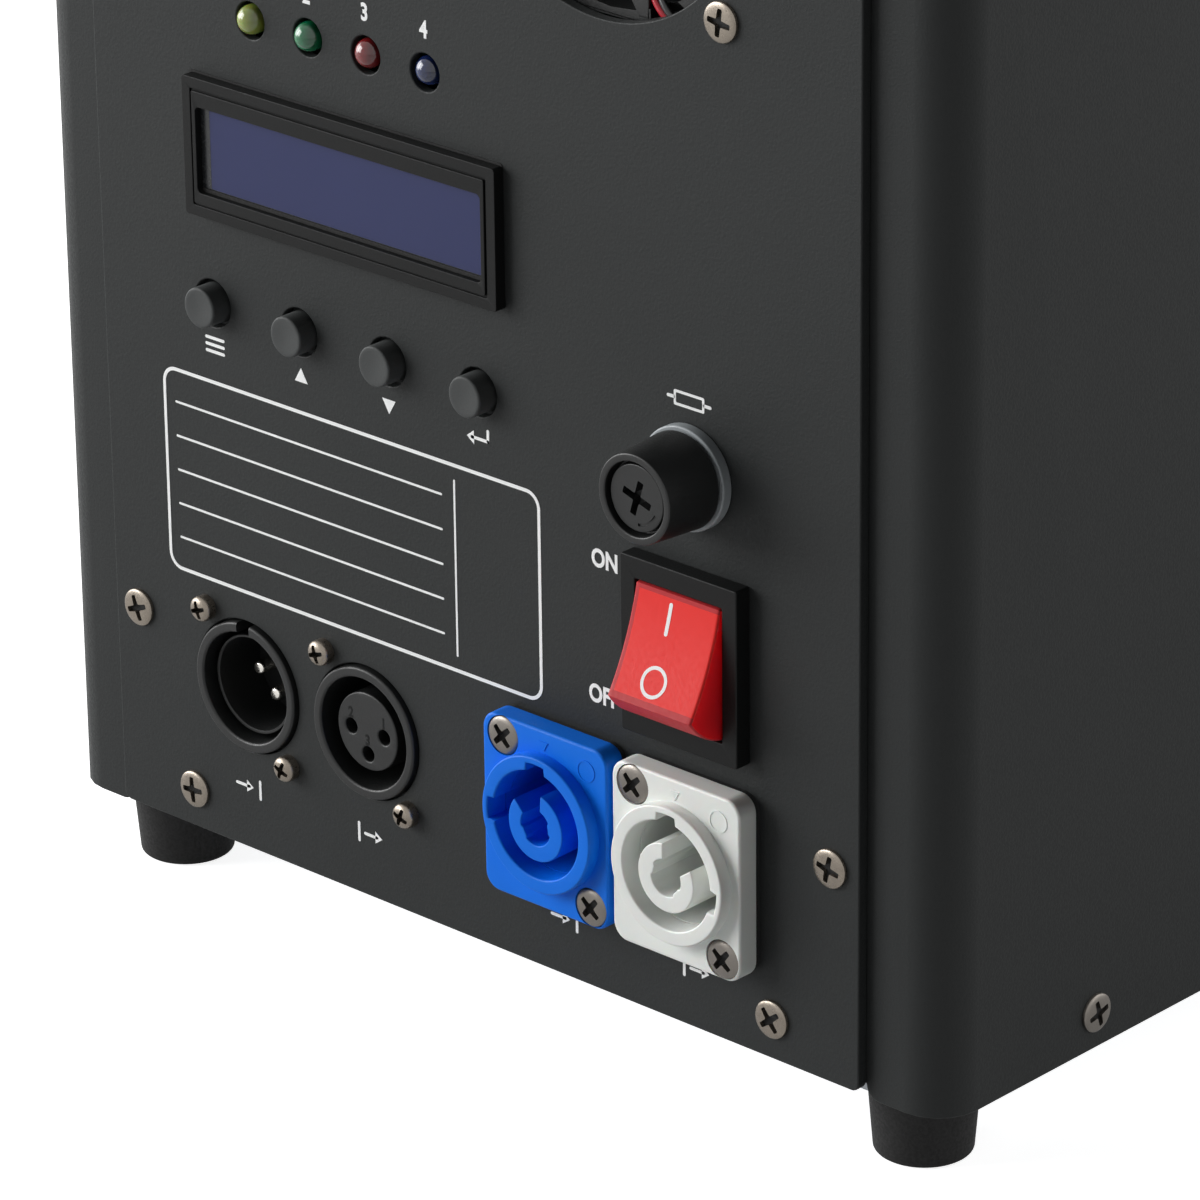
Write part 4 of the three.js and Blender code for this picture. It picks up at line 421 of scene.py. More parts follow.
panelSheet = {
    "width": 168, "thick": 2, "corner": 1.5, "edge": 0.28,
    "screws": [(78.2, 37.6), (66, 7.2), (78.2, 194.4), (66, 224.8)],
    "screwHole": 1.8,
    "slots": 9, "slotPitch": 8, "slotWidth": 3, "slotLength": 34, "slotHeight": 40,
}
lamps = {"names": ("power", "signal", "error", "heat"), "first": -46.6, "pitch": 13.1, "height": 149.5, "hole": 3.2,
         "radius": 2.5, "rises": (2, 2, 1.4, 1), "lift": 0.15,
         "slots": ("lamp_yellow_green", "lamp_green", "lamp_red", "lamp_blue")}
buttons = {"names": ("menu", "up", "down", "enter"), "first": -57.7, "pitch": 20.25, "height": 98, "hole": 4.15}
sockets = {"height": 30.3, "hole": 12, "signalIn": -52.2, "signalOut": -24.1, "mainsIn": 21.3, "mainsOut": 49.8,
           "mainsDrop": 0.5, "signalScrew": (9.5, 12), "mainsScrews": ((-9.2, 12.4), (9.9, -12.4)), "mainsSeat": 3.5}
display = {"x": -25.7, "height": 125.8, "width": 70.6, "tall": 24, "rise": 2.3, "rim": 1.9, "groove": 0.38,
           "corner": 0.6, "windowWidth": 64.4, "windowTall": 14.9, "windowDrop": 0.35, "hole": (66.6, 16.5),
           "cell": (61.2, 13.8), "cellShift": (0.55, 0.25)}
rocker = {"x": 49, "height": 65.5, "width": 24.6, "tall": 30.4, "rise": 3.2, "windowWidth": 18.4, "windowTall": 23.1,
          "hole": (22, 28), "body": (21.4, 27.4), "tab": (0.8, 6.3), "depths": (9.8, 22, 31), "capHalf": 8.9,
          "pivotDepth": 2.75, "radius": 11.5, "tip": math.radians(54), "back": math.radians(104), "hollow": 0.8,
          "tilt": math.radians(22), "border": 7.9, "borderTop": 8.6, "borderLow": 8.2}
fuse = {"x": 49, "height": 96, "hole": 6.9}
fan = {"x": 31, "height": 196.8, "opening": 30, "screwSpacing": 50}


def screwPlaces():
    return [(side * x, panelLow + z) for x, z in panelSheet["screws"] for side in (-1, 1)]


def rowPlaces(row):
    return [(row["first"] + i * row["pitch"], panelLow + row["height"]) for i in range(4)]


def socketPlace(key):
    drop = sockets["mainsDrop"] if key.startswith("mains") else 0
    return sockets[key], panelLow + sockets["height"] - drop


# A panel with its screw holes and the other holes given
def punched(name, side, y, node, holes):
    low, high = panelLow, housing["panelHigh"]
    outline = box(0, (low + high) / 2, panelSheet["width"], high - low, panelSheet["corner"])
    screwHoles = [circle(x, z, panelSheet["screwHole"], 24) for x, z in screwPlaces()]
    sheet = plate([outline] + screwHoles + holes, -panelSheet["thick"], 0, panelSheet["edge"])
    addPiece(name, "machine", [(sheet, "powderCoat")], (0, y, 0), side, [node])


def controlPanel():
    holes = [circle(x, z, lamps["hole"], 40) for x, z in rowPlaces(lamps)]
    holes += [circle(x, z, buttons["hole"], 44) for x, z in rowPlaces(buttons)]
    holes += [circle(*socketPlace(key), sockets["hole"], 80)
              for key in ("signalIn", "signalOut", "mainsIn", "mainsOut")]
    holes.append(box(display["x"], panelLow + display["height"] - display["windowDrop"], *display["hole"], 1))
    holes.append(box(rocker["x"], panelLow + rocker["height"], *rocker["hole"], 0.3))
    holes.append(circle(fuse["x"], panelLow + fuse["height"], fuse["hole"], 48))
    holes.append(circle(fan["x"], panelLow + fan["height"], fan["opening"], 128))
    punched("controlPanelSheet", "panel", panelY, "control_panel", holes)


def frontPanel():
    first = -(panelSheet["slots"] - 1) / 2
    holes = [box((first + i) * panelSheet["slotPitch"], panelLow + panelSheet["slotHeight"], panelSheet["slotWidth"],
                 panelSheet["slotLength"], panelSheet["slotWidth"] / 2 - 0.01, 8) for i in range(panelSheet["slots"])]
    punched("frontPanelSheet", "front", housing["frontY"], "front_panel", holes)


controlPanel()
frontPanel()
print("panels made")

# Screws: pan heads with a pressed cross recess

screwHeads = {
    "panel": {"radius": 3.3, "height": 0.95, "crown": 0.35, "arm": 2.3, "armWidth": 1.1, "depth": 0.8},
    "socket": {"radius": 2.25, "height": 2.4, "crown": 0.8, "arm": 1.6, "armWidth": 0.85, "depth": 1.4},
    "mains": {"radius": 3.35, "height": 1.8, "crown": 0.35, "arm": 2.2, "armWidth": 1.15, "depth": 1.1},
    "side": {"radius": 3.3, "height": 0.85, "crown": 0.35, "arm": 2.3, "armWidth": 1.1, "depth": 0.75},
}


# A head, and a dark disc on the floor of its recess: painted shade that makes the cross look black
def screwHead(kind):
    size = screwHeads[kind]
    r, h = size["radius"], size["height"]
    rim = (h - size["crown"]) * 0.8
    profile = [(0, 0), (r, 0), (r, rim)]
    for i in range(1, 8):
        angle = math.radians(90 * i / 8)
        profile.append((r * math.cos(angle) ** 0.55, rim + (h - rim) * math.sin(angle)))
    profile.append((0, h))
    cross = [rounded(crossOutline(size["arm"], size["armWidth"] / 2, 0.8), 0.22, 3)]
    floor = h - size["depth"]
    return carved(turned(profile, 48), plate(cross, floor, h + 1)), plate(cross, floor - 0.04, floor + 0.03)


def screws(name, kind, finish, side, places, replaced=()):
    for i, (at, turn) in enumerate(places):
        head, shade = screwHead(kind)
        addPiece(f"{name}{i + 1}", "machine", [(head, finish), (shade, "rubber")], at, side, replaced[i:i + 1],
                 40, math.radians(turn))


sideScrews = ((-53.8, 19.9), (67.2, 19.9), (-53.8, 242.1), (67.2, 242.1))
panelTurns = (20, -12, 5, 38, 14, 60, -25, 8)
screws("panelScrew", "panel", "nickel", "panel",
       [((x, panelY, z), turn) for (x, z), turn in zip(screwPlaces(), panelTurns)],
       ["panel_screw_left", "panel_screw_right", "panel_screw_low_left", "panel_screw_low_right"])
screws("frontScrew", "panel", "nickel", "front",
       [((x, housing["frontY"], z), turn) for (x, z), turn in zip(screwPlaces(), panelTurns)])
for sideName, sign in (("left", -1), ("right", 1)):
    screws(sideName + "SideScrew", "side", "dullNickel", sideName,
           [((sign * housing["sideX"], y, z), 15 + 31 * k) for k, (y, z) in enumerate(sideScrews)])
for key in ("signalIn", "signalOut"):
    (x, z), (dx, dz) = socketPlace(key), sockets["signalScrew"]
    screws(key + "Screw", "socket", "nickel", "panel",
           [((x - dx, panelY, z + dz), 18), ((x + dx, panelY, z - dz), -20)])
for key in ("mainsIn", "mainsOut"):
    x, z = socketPlace(key)
    screws(key + "Screw", "mains", "dullNickel", "panel",
           [((x + dx, panelY - sockets["mainsSeat"], z + dz), turn)
            for (dx, dz), turn in zip(sockets["mainsScrews"], (43, 50))])
half = fan["screwSpacing"] / 2
screws("fanScrew", "panel", "nickel", "panel",
       [((fan["x"] + i * half, panelY, panelLow + fan["height"] + j * half), 12 + 20 * i * j)
        for i in (-1, 1) for j in (-1, 1)])
print("screws made")

# Feet: turned rubber cones, each with its screw sunk in the middle

feet = {"inset": 84.8, "screw": [(0, 5), (3.4, 5), (3.4, 0)], "cone": [(3.4, 0), (8.15, 0), (9.25, 13.5)],
        "washer": [(0, 4.2), (1.2, 4.15), (2.4, 4.5), (3.1, 5.01), (0, 5.01)], "tall": 13.5, "edge": 0.9}


def foot(name, x, y):
    inner, outer = rounded(feet["screw"], 0.3, 3, False), rounded(feet["cone"], feet["edge"], 6, False)
    parts = [(turned(inner + outer[1:] + [(0, feet["tall"])]), "rubber"), (turned(feet["washer"], 40), "nickel")]
    addPiece(name.replace("_", "") + "Rubber", "machine", parts, (x, y, 0), "top", [name])


for row, y in (("panel", -1), ("front", 1)):
    for hand, x in (("left", -1), ("right", 1)):
        foot(f"foot_{row}_{hand}", x * feet["inset"], housing["middleY"] + y * feet["inset"])
print("feet made")

# Lamps: 5 mm domes set back in their holes

for name, (x, z), rise, slot in zip(lamps["names"], rowPlaces(lamps), lamps["rises"], lamps["slots"]):
    r = lamps["radius"]
    dome = [(r * math.sin(math.radians(a)), rise - r + r * math.cos(math.radians(a))) for a in range(0, 91, 9)]
    tail = [(r, rise - 7.6), (2.9, rise - 7.6), (2.9, rise - 8.6), (0, rise - 8.6)]
    addPiece(name + "LampDome", "machine", [(turned(dome + tail, 48), name + "Epoxy")],
             (x, panelY, z + lamps["lift"]), "panel", [name + "_lamp"])

# Buttons: short round caps with a soft edge and a shallow dish

buttonCap = {"profile": [(0, 2.98), (1.5, 3.02), (2.7, 3.18), (3.5, 3.2), (3.5, -2.4), (5, -2.4), (5, -3.4),
                         (1.6, -3.4), (1.6, -7.4), (0, -7.4)], "edge": 0.42}
for name, (x, z) in zip(buttons["names"], rowPlaces(buttons)):
    cap = turned(rounded(buttonCap["profile"], buttonCap["edge"], 5, False), 56)
    addPiece(name + "ButtonCap", name + "_button", [(cap, "keyAbs")], (x, panelY, z), "panel", [name + "_button"])
print("lamps and buttons made")


# Display: stepped bezel, smoked film and blue cell

def displayPieces():
    x, z = display["x"], panelLow + display["height"]
    wide, tall, rise = display["width"], display["tall"], display["rise"]
    windowZ = z - display["windowDrop"]
    window = box(x, windowZ, display["windowWidth"], display["windowTall"], 0.9)
    groove = display["groove"]
    inner = [wide - 2 * display["rim"] - groove, tall - 2 * display["rim"] - groove]
    outline = box(x, z, wide, tall, display["corner"])
    base = plate([outline, window], 0, rise - 0.45, 0.06)
    outer = plate([outline, box(x, z, inner[0] + groove, inner[1] + groove, 0.3)], rise - 0.6, rise - 0.12, 0.1)
    plateau = plate([box(x, z, inner[0] - groove, inner[1] - groove, 0.3), window], rise - 0.6, rise, 0.1)
    # Thin black gasket, set up and left so it shows as a dark line along the top and left edges: painted shade
    gasket = plate([box(x - 0.22, z + 0.26, wide + 0.25, tall + 0.25, display["corner"]), window], 0, 0.14, 0)
    addPiece("displayBezelFrame", "machine", [(mesh, "mattAbs") for mesh in (base, outer, plateau)] +
             [(gasket, "rubber")], (0, panelY, 0), "panel", ["display_bezel"])
    cell = box(x + display["cellShift"][0], windowZ + display["cellShift"][1], *display["cell"], 0.3)
    film = plate([box(x, windowZ, display["windowWidth"] - 0.1, display["windowTall"] - 0.1, 0.9), cell], -0.2, 1.1, 0)
    glass = plate([cell], -0.2, 1.08, 0)
    # A black strip along the window's lower edge: painted shade where the bezel's inner wall shadows the cell
    shade = plate([box(x, windowZ - 7.1, display["windowWidth"] - 0.3, 0.65, 0.1)], 0.9, 1.3, 0)
    addPiece("displayGlass", "machine", [(film, "displayFilm"), (glass, "displayCell"), (shade, "rubber")],
             (0, panelY, 0), "panel", [])


displayPieces()
print("display made")


# Rocker switch

def switchPieces():
    x, z = rocker["x"], panelLow + rocker["height"]
    window = box(x, z, rocker["windowWidth"], rocker["windowTall"], 0.25)
    rim = plate([box(x, z, rocker["width"], rocker["tall"], 0.4), window], 0, rocker["rise"], 0.22, 3)
    outline = box(x, z, *rocker["body"], 0.4)
    cavity, back, end = rocker["depths"]
    body = plate([outline, window], -cavity, 0.6, 0)
    floor = plate([outline], -back, -cavity, 0.2)
    parts = [(rim, "mattAbs"), (body, "mattAbs"), (floor, "mattAbs")]
    for i, j in ((-1, -1), (-1, 1), (1, -1), (1, 1)):
        tab = box(x + i * rocker["body"][0] / 4, z + j * rocker["body"][1] / 4, *rocker["tab"], 0.2)
        parts.append((plate([tab], -end, 0.8 - back, 0.1), "zinc"))
    addPiece("rockerFrame", "machine", parts, (0, panelY, 0), "panel", ["switch_frame"])


# The hollow face between its two tips, and the drum behind it
rockerCos, rockerSin = math.cos(rocker["tilt"]), math.sin(rocker["tilt"])
rockerOut, rockerUp = rocker["radius"] * math.cos(rocker["tip"]), rocker["radius"] * math.sin(rocker["tip"])


def rockerProfile():
    points = []
    for i in range(1, 24):
        share = 2 * i / 24 - 1
        points.append((rockerOut - rocker["hollow"] * (1 - share * share), share * rockerUp))
    for start, end in ((rocker["tip"], rocker["back"]), (-rocker["back"], -rocker["tip"])):
        for i in range(13):
            angle = start + (end - start) * i / 12
            points.append((rocker["radius"] * math.cos(angle), rocker["radius"] * math.sin(angle)))
    return [(-(rockerCos * u - rockerSin * v), rockerSin * u + rockerCos * v) for u, v in points]


# Cuts the cap along the lines where its clear border begins
def bordered(mesh):
    work = bmesh.new()
    work.from_mesh(mesh)
    along = Vector((rockerSin, rockerCos, 0))
    for side, end in ((-rocker["border"], -rocker["borderLow"]), (rocker["border"], rocker["borderTop"])):
        for point, normal in (((0, 0, side), (0, 0, 1)), (along * end, along)):
            bmesh.ops.bisect_plane(work, geom=work.verts[:] + work.edges[:] + work.faces[:], plane_co=point,
                                   plane_no=normal)
    return written(work, "bordered")


# Bends a flat mark onto the hollow face of the rocker, cut fine enough for it
def markOnRocker(flat, lift=0.03):
    work = bmesh.new()
    work.from_mesh(flat)
    bmesh.ops.subdivide_edges(work, edges=work.edges, cuts=2, use_grid_fill=True)
    mesh = written(work, "mark")
    for vertex in mesh.vertices:
        across, along, thick = vertex.co
        share = along / rockerUp
        u = rockerOut - rocker["hollow"] * (1 - share * share) + lift * (1 if thick > 0 else -1)
        vertex.co = (across, -(rockerCos * u - rockerSin * along), rockerSin * u + rockerCos * along)
    return mesh


def rockerPieces():
    x, z = rocker["x"], panelLow + rocker["height"]
    pivotY = panelY - rocker["rise"] + rocker["pivotDepth"]
    cap = bordered(plate([rockerProfile()], -rocker["capHalf"], rocker["capHalf"], 0.45, 3))
    piece = addPiece("rockerCap", "rocker", [(cap, "redPolycarbonate")], (x, pivotY, z), "right", ["switch_rocker"],
                     30)
    # The sides get the brighter red, a painted glow; the clear border gets its darker red
    for finish in ("redPolycarbonatePaintedGlow", "redPolycarbonateRim"):
        piece.data.materials.append(materials[finish])
    for face in piece.data.polygons:
        outward = -face.normal.y * rockerCos + face.normal.z * rockerSin
        centre = face.center * 1000 - Vector((x, pivotY, z))
        along = rockerCos * centre.z + rockerSin * centre.y
        if abs(face.normal.x) > 0.97 or outward < -0.2:
            face.material_index = 1
        elif centre.x < -rocker["border"] or along > rocker["borderTop"] or along < -rocker["borderLow"]:
            face.material_index = 2
    bar = plate([box(-0.95, 5.2, 0.72, 5.4, 0.34)], 0, 1)
    ring = plate([circle(-0.75, -5, 2.65), circle(-0.75, -5, 2.05)], 0, 1)
    marks = [(markOnRocker(mark), "whiteInk") for mark in (bar, ring)]
    addPiece("rockerMarks", "rocker", marks, (x, pivotY, z), "top", [])


switchPieces()
rockerPieces()
print("switch made")

# Fuse holder: flange, barrel, and a cap with a sunk disc and a cross slot

fuseShape = {
    "flange": [(4.9, 2), (8.7, 2), (8.7, 0), (6.6, 0), (6.6, -39.2), (0, -39.2), (0, -35.2), (4.9, -35.2)],
    "cap": [(0, 12.4), (5.6, 12.4), (5.6, 10.9), (6.2, 10.9), (6.2, 13.1), (7.45, 13.1), (8.15, 2.3), (4.6, 2.3),
            (4.6, -8.2), (2.9, -8.2), (2.9, -1.2), (0, -1.2)],
    "cross": (3, 0.62), "arrow": (4.1, 4.6), "turn": -17,
}


def fusePieces():
    at = (fuse["x"], panelY, panelLow + fuse["height"])
    flange = rounded(fuseShape["flange"], 0.3, 4)
    addPiece("fuseFlange", "machine", [(turned(flange + flange[:1], 96), "greyNylon")], at, "panel", ["fuse_holder"])
    cap = turned(rounded(fuseShape["cap"], 0.25, 4, False), 96)
    cap = carved(cap, plate([rounded(crossOutline(*fuseShape["cross"]), 0.2, 3)], 10.6, 14))
    inner, outer = fuseShape["arrow"]
    arrow = arc(outer, range(-70, -9, 6)) + arc(inner, range(-10, -71, -6))
    cap = carved(cap, plate([arrow], 12.15, 14))
    addPiece("fuseCapTurned", "fuse_cap", [(cap, "abs")], at, "panel", ["fuse_cap"],
             turn=math.radians(fuseShape["turn"]))


fusePieces()
print("fuse made")


# Three-pole signal sockets

contactPlaces = [(3.8, 0), (-3.8, 0), (0, -3.8)]
signalRim = {"outer": 11.7, "inner": 9.9, "rise": 1, "floor": -13, "back": -22, "innerRing": (8.9, 8.3)}
contacts = {"base": -12.7, "baseRadius": 9.5, "pin": 1.25, "pinTip": -5.9, "pinLift": 0.3, "hole": 1.35, "face": 6.95}


def signalShell(name, node, x, notch):
    r, inner, rise, floor, back = (signalRim[key] for key in ("outer", "inner", "rise", "floor", "back"))
    loop = rounded([(inner, floor), (inner, rise), (r, rise), (r, back), (0, back), (0, floor)], 0.45, 4, False)
    shell = turned(loop + [(inner, floor)], 112)
    if notch:
        shell = carved(shell, plate([box(0, 10.5, 3, 4)], -9, 2))
    flange = plate([box(0, 0, 26, 31, 3), circle(0, 0, 11.5)], -4.3, -2.3, 0.2)
    parts = [(shell, "nylon"), (flange, "nylon")]
    if notch:  # the plug's steel shell runs outside this thin inner ring
        out, into = signalRim["innerRing"]
        ring = [(out, floor), (out, -1.4), (out - 0.15, -1.2), (into + 0.15, -1.2), (into, -1.4), (into, floor)]
        parts.append((turned(ring + ring[:1], 96), "nylon"))
    addPiece(name, "machine", parts, (x, panelY, panelLow + sockets["height"]), "panel", [node])


def signalPins():
    base, edge, r, tip = (contacts[key] for key in ("base", "baseRadius", "pin", "pinTip"))
    parts = [(turned([(0, base), (edge, base), (edge, -10.9), (0, -10.9)], 64), "nylon")]
    for u, v in contactPlaces:
        pin = turned([(0, -11)] + rounded([(r, -11), (r, tip), (0, tip)], 0.9, 6, False), 32)
        parts.append((shifted(pin, u, v + contacts["pinLift"]), "silver"))
    addPiece("signalInPins", "machine", parts, (sockets["signalIn"], panelY, panelLow + sockets["height"]), "panel",
             ["signal_in_pins"])


def signalInsert():
    places = contactPlaces[:2] + [(0, -4.1)]
    base, edge = contacts["base"], contacts["baseRadius"]
    holes = [circle(u, v, contacts["hole"], 32) for u, v in places]
    disc = plate([circle(0, 0, contacts["face"], 96)] + holes, -6.5, -0.1, 0.3)
    back = turned([(0, base), (edge, base), (edge, -10.7), (7.1, -10.7), (7.1, -6.4), (0, -6.4)], 64)
    parts = [(disc, "nylon"), (back, "nylon")]
    for number, (u, v) in zip("123", places):
        parts.append((shifted(lettering(number, 1.9, 0.06), u, v + 2.6, -0.12), "mattAbs"))
    addPiece("signalOutInsert", "machine", parts, (sockets["signalOut"], panelY, panelLow + sockets["height"]), "panel",
             ["signal_out_insert"])


signalShell("signalInShell", "signal_in_shell", sockets["signalIn"], True)
signalPins()
signalShell("signalOutShell", "signal_out_shell", sockets["signalOut"], False)
signalInsert()
print("signal sockets made")


# Mains sockets: square flange, raised ring with two key slots, and a hollow core that is open on one side

mainsShape = {"flange": 5, "gasket": 0.8, "ring": 2.4, "ringRadius": 11.9, "bore": 9.4, "key": 10.7, "keyHalf": 12,
              "core": 5.95, "coreBore": 3.2, "coreLow": 0.35, "depth": 15.6, "pocket": 3.45,
              "plate": (27.4, 31.8), "seal": (27, 31.4), "hole": 11.2, "well": 11.7, "back": -22}


def keyedBore(keys):
    points = []
    for i in range(144):
        angle = i * 2.5
        near = any(abs((angle - key + 180) % 360 - 180) < mainsShape["keyHalf"] for key in keys)
        points += arc(mainsShape["key"] if near else mainsShape["bore"], [angle])
    return points


def coreOutline(gap, halfGap):
    start, end = gap + halfGap, gap + 360 - halfGap
    points = arc(mainsShape["core"], [start + (end - start) * i / 60 for i in range(61)])
    for share in (i / 40 for i in range(41)):
        tooth = 0.45 if 0.16 < share < 0.3 or 0.7 < share < 0.84 else 0
        points += arc(mainsShape["coreBore"] - tooth, [end - 6 + (start + 6 - end + 6) * share])
    return moved(points, 0, -mainsShape["coreLow"])


def mainsSocket(name, node, key, keys, gap, halfGap, finish):
    x, z = socketPlace(key)
    face = mainsShape["flange"]
    top = face + mainsShape["ring"]
    bottom = top - mainsShape["depth"]
    keyRound = mainsShape["key"] + 0.1
    hole = circle(0, 0, mainsShape["hole"], 96)
    gasket = plate([box(0, 0, *mainsShape["seal"], 3, 8), hole], 0, mainsShape["gasket"], 0)
    flange = plate([box(0, 0, *mainsShape["plate"], 3, 8), hole], mainsShape["gasket"], face, 0.5, 3)
    pockets = [circle(*place, mainsShape["pocket"], 40) for place in sockets["mainsScrews"]]
    meshes = [
        carved(flange, plate(pockets, face - 1.6, face + 2)),
        plate([circle(0, 0, mainsShape["ringRadius"], 112), keyedBore(keys)], face - 2, top, 0.32, 3),
        plate([circle(0, 0, mainsShape["well"], 96), circle(0, 0, keyRound, 96)], mainsShape["back"], face - 2, 0),
        plate([circle(0, 0, keyRound, 96), keyedBore(keys)], bottom, face - 2, 0),
        plate([circle(0, 0, keyRound, 64)], bottom - 2, bottom, 0),
        plate([coreOutline(gap, halfGap)], bottom, top, 0.22, 3),
        plate([moved([(-0.9, 0.7), (0.9, 0.7), (0, -0.9)], 0, 13.3)], face - 0.01, face + 0.12),
        plate([circle(9.2, 11.6, 1.9, 40), circle(9.2, 11.6, 1.7, 40)], face - 0.01, face + 0.1),
    ]
    parts = [(mesh, finish) for mesh in meshes] + [(gasket, "rubber")]
    addPiece(name, "machine", parts, (x, panelY, z), "panel", [node])


mainsSocket("mainsInBody", "mains_in_socket", "mainsIn", (90, 180), 109, 31, "blueNylon")
mainsSocket("mainsOutBody", "mains_out_socket", "mainsOut", (90, 350), 62, 34, "whiteNylon")
print("mains sockets made")


# White prints: plain signs by the controls, an empty table where a rating plate goes, ON and OFF at the switch

def stroke(x1, y1, x2, y2, width=0.55):
    length = math.hypot(x2 - x1, y2 - y1)
    bar = box(0, 0, length + width, width, width / 2 - 0.01, 4)
    return [moved(bar, (x1 + x2) / 2, (y1 + y2) / 2, math.atan2(y2 - y1, x2 - x1))]


signs = {  # strokes about the middle of each sign, in mm
    "menu": [stroke(-2, y, 2, y) for y in (-1.2, 0, 1.2)],
    "up": [[[(-1.5, -1.1), (1.5, -1.1), (0, 1.4)]]],
    "down": [[[(-1.5, 1.1), (1.5, 1.1), (0, -1.4)]]],
    "enter": [stroke(-1.8, -0.6, 1.8, -0.6), stroke(1.8, -0.6, 1.8, 1.2), [[(-2.9, -0.6), (-1.3, 0.6), (-1.3, -1.8)]]],
    "into": [stroke(-3.4, 0, -0.4, 0), [[(0.6, 0), (-1.0, 1.1), (-1.0, -1.1)]], stroke(2.2, -1.6, 2.2, 1.6)],
    "outOf": [stroke(-2.2, -1.6, -2.2, 1.6), stroke(-0.8, 0, 2.0, 0), [[(3.2, 0), (1.6, 1.1), (1.6, -1.1)]]],
    "fuse": [[box(0, 0, 6.4, 2.6, 0.3), box(0, 0, 5.5, 1.7, 0.2)], stroke(-4.4, 0, -3.2, 0), stroke(3.2, 0, 4.4, 0)],
}
signPlaces = [
    ("menu", -57.4, 90.6), ("up", -37.2, 90.4), ("down", -17.0, 90.4), ("enter", 3.4, 90.6),
    ("into", -52.3, 11.6), ("outOf", -24.3, 11.4), ("fuse", 48.8, 108.4), ("into", 21.2, 10.4), ("outOf", 49.2, 10.4),
]
lampNumbers = {"height": 156.8, "tall": 2.9}
switchWords = {"tall": 3.1, "places": [("ON", 30.5, 76.6), ("OFF", 29.9, 52.9)]}
ratingTable = {"left": -70.3, "right": 16.5, "low": 47.4, "high": 84.2, "corner": 3, "line": 0.62,
               "rows": 6, "column": 0.78, "rule": 0.4, "margin": 3}
ink = 0.05


def prints():
    marks = [shifted(plate(loops, 0, ink), x, panelLow + z) for sign, x, z in signPlaces for loops in signs[sign]]
    marks += [shifted(lettering(str(i + 1), lampNumbers["tall"]), x, panelLow + lampNumbers["height"])
              for i, (x, _) in enumerate(rowPlaces(lamps))]
    marks += [shifted(lettering(word, switchWords["tall"]), x, panelLow + z) for word, x, z in switchWords["places"]]
    table, line = ratingTable, ratingTable["line"]
    wide, tall = table["right"] - table["left"], table["high"] - table["low"]
    x, z = (table["right"] + table["left"]) / 2, panelLow + (table["high"] + table["low"]) / 2
    inside = box(x, z, wide - 2 * line, tall - 2 * line, table["corner"] - line, 8)
    marks.append(plate([box(x, z, wide, tall, table["corner"], 8), inside], 0, ink))
    columnX = table["left"] + wide * table["column"]
    start, end = table["left"] + table["margin"], columnX - table["margin"]
    for i in range(1, table["rows"]):
        height = z - tall / 2 + tall * i / table["rows"]
        marks.append(plate(stroke(start, height, end, height, table["rule"]), 0, ink))
    low, high = z - tall / 2 + table["margin"], z + tall / 2 - table["margin"]
    marks.append(plate(stroke(columnX, low, columnX, high, table["rule"]), 0, ink))
    addPiece("panelPrint", "machine", [(mark, "whiteInk") for mark in marks], (0, panelY, 0))


prints()
print("prints made")


# Fan: twisted blades on a hub, a holder with four struts in front, and two wires led over the frame's notch

fanShape = {"hub": 12.6, "hubLength": 13.6, "tip": 27.5, "blades": 7, "rear": -4.6, "chord": 15, "sheet": 1.3}


def fanBlade(turn):
    work = bmesh.new()
    grid = []
    for i in range(9):
        share = i / 8
        radius = fanShape["hub"] - 0.6 + (fanShape["tip"] - fanShape["hub"] + 0.6) * share
        pitch = math.radians(52 - 20 * share)
        chord = fanShape["chord"] * (0.82 + 0.18 * share)
        row = []
        for k in range(9):
            along = (k / 8 - 0.5) * chord
            bow = 1.4 * (1 - (2 * k / 8 - 1) ** 2)
            u = along * math.cos(pitch) - bow * math.sin(pitch)
            w = along * math.sin(pitch) * 0.62 + bow * math.cos(pitch)
            angle = u / radius + turn + 0.25 * share
            row.append(work.verts.new((radius * math.cos(angle), radius * math.sin(angle), fanShape["rear"] - 6.9 + w)))
        grid.append(row)
    for i in range(8):
        for k in range(8):
            work.faces.new((grid[i][k], grid[i][k + 1], grid[i + 1][k + 1], grid[i + 1][k]))
    work.normal_update()
    bmesh.ops.solidify(work, geom=work.faces[:], thickness=fanShape["sheet"])
    across = Vector((1, 0.317, 0.0731))  # any slanted line: it puts vertices and faces in one order for every run
    work.verts.sort(key=lambda vertex: vertex.co.dot(across))
    work.faces.sort(key=lambda face: face.calc_center_median().dot(across))
    return written(work, "blade")


def tube(points, radius, steps=10):
    curve = bpy.data.curves.new("wire", "CURVE")
    curve.dimensions = "3D"
    spline = curve.splines.new("BEZIER")
    spline.bezier_points.add(len(points) - 1)
    for knot, place in zip(spline.bezier_points, points):
        knot.co = place
        knot.handle_left_type = knot.handle_right_type = "AUTO"
    curve.bevel_depth = radius
    curve.bevel_resolution = 4
    curve.resolution_u = steps
    curve.use_fill_caps = True
    return meshOf(curve)


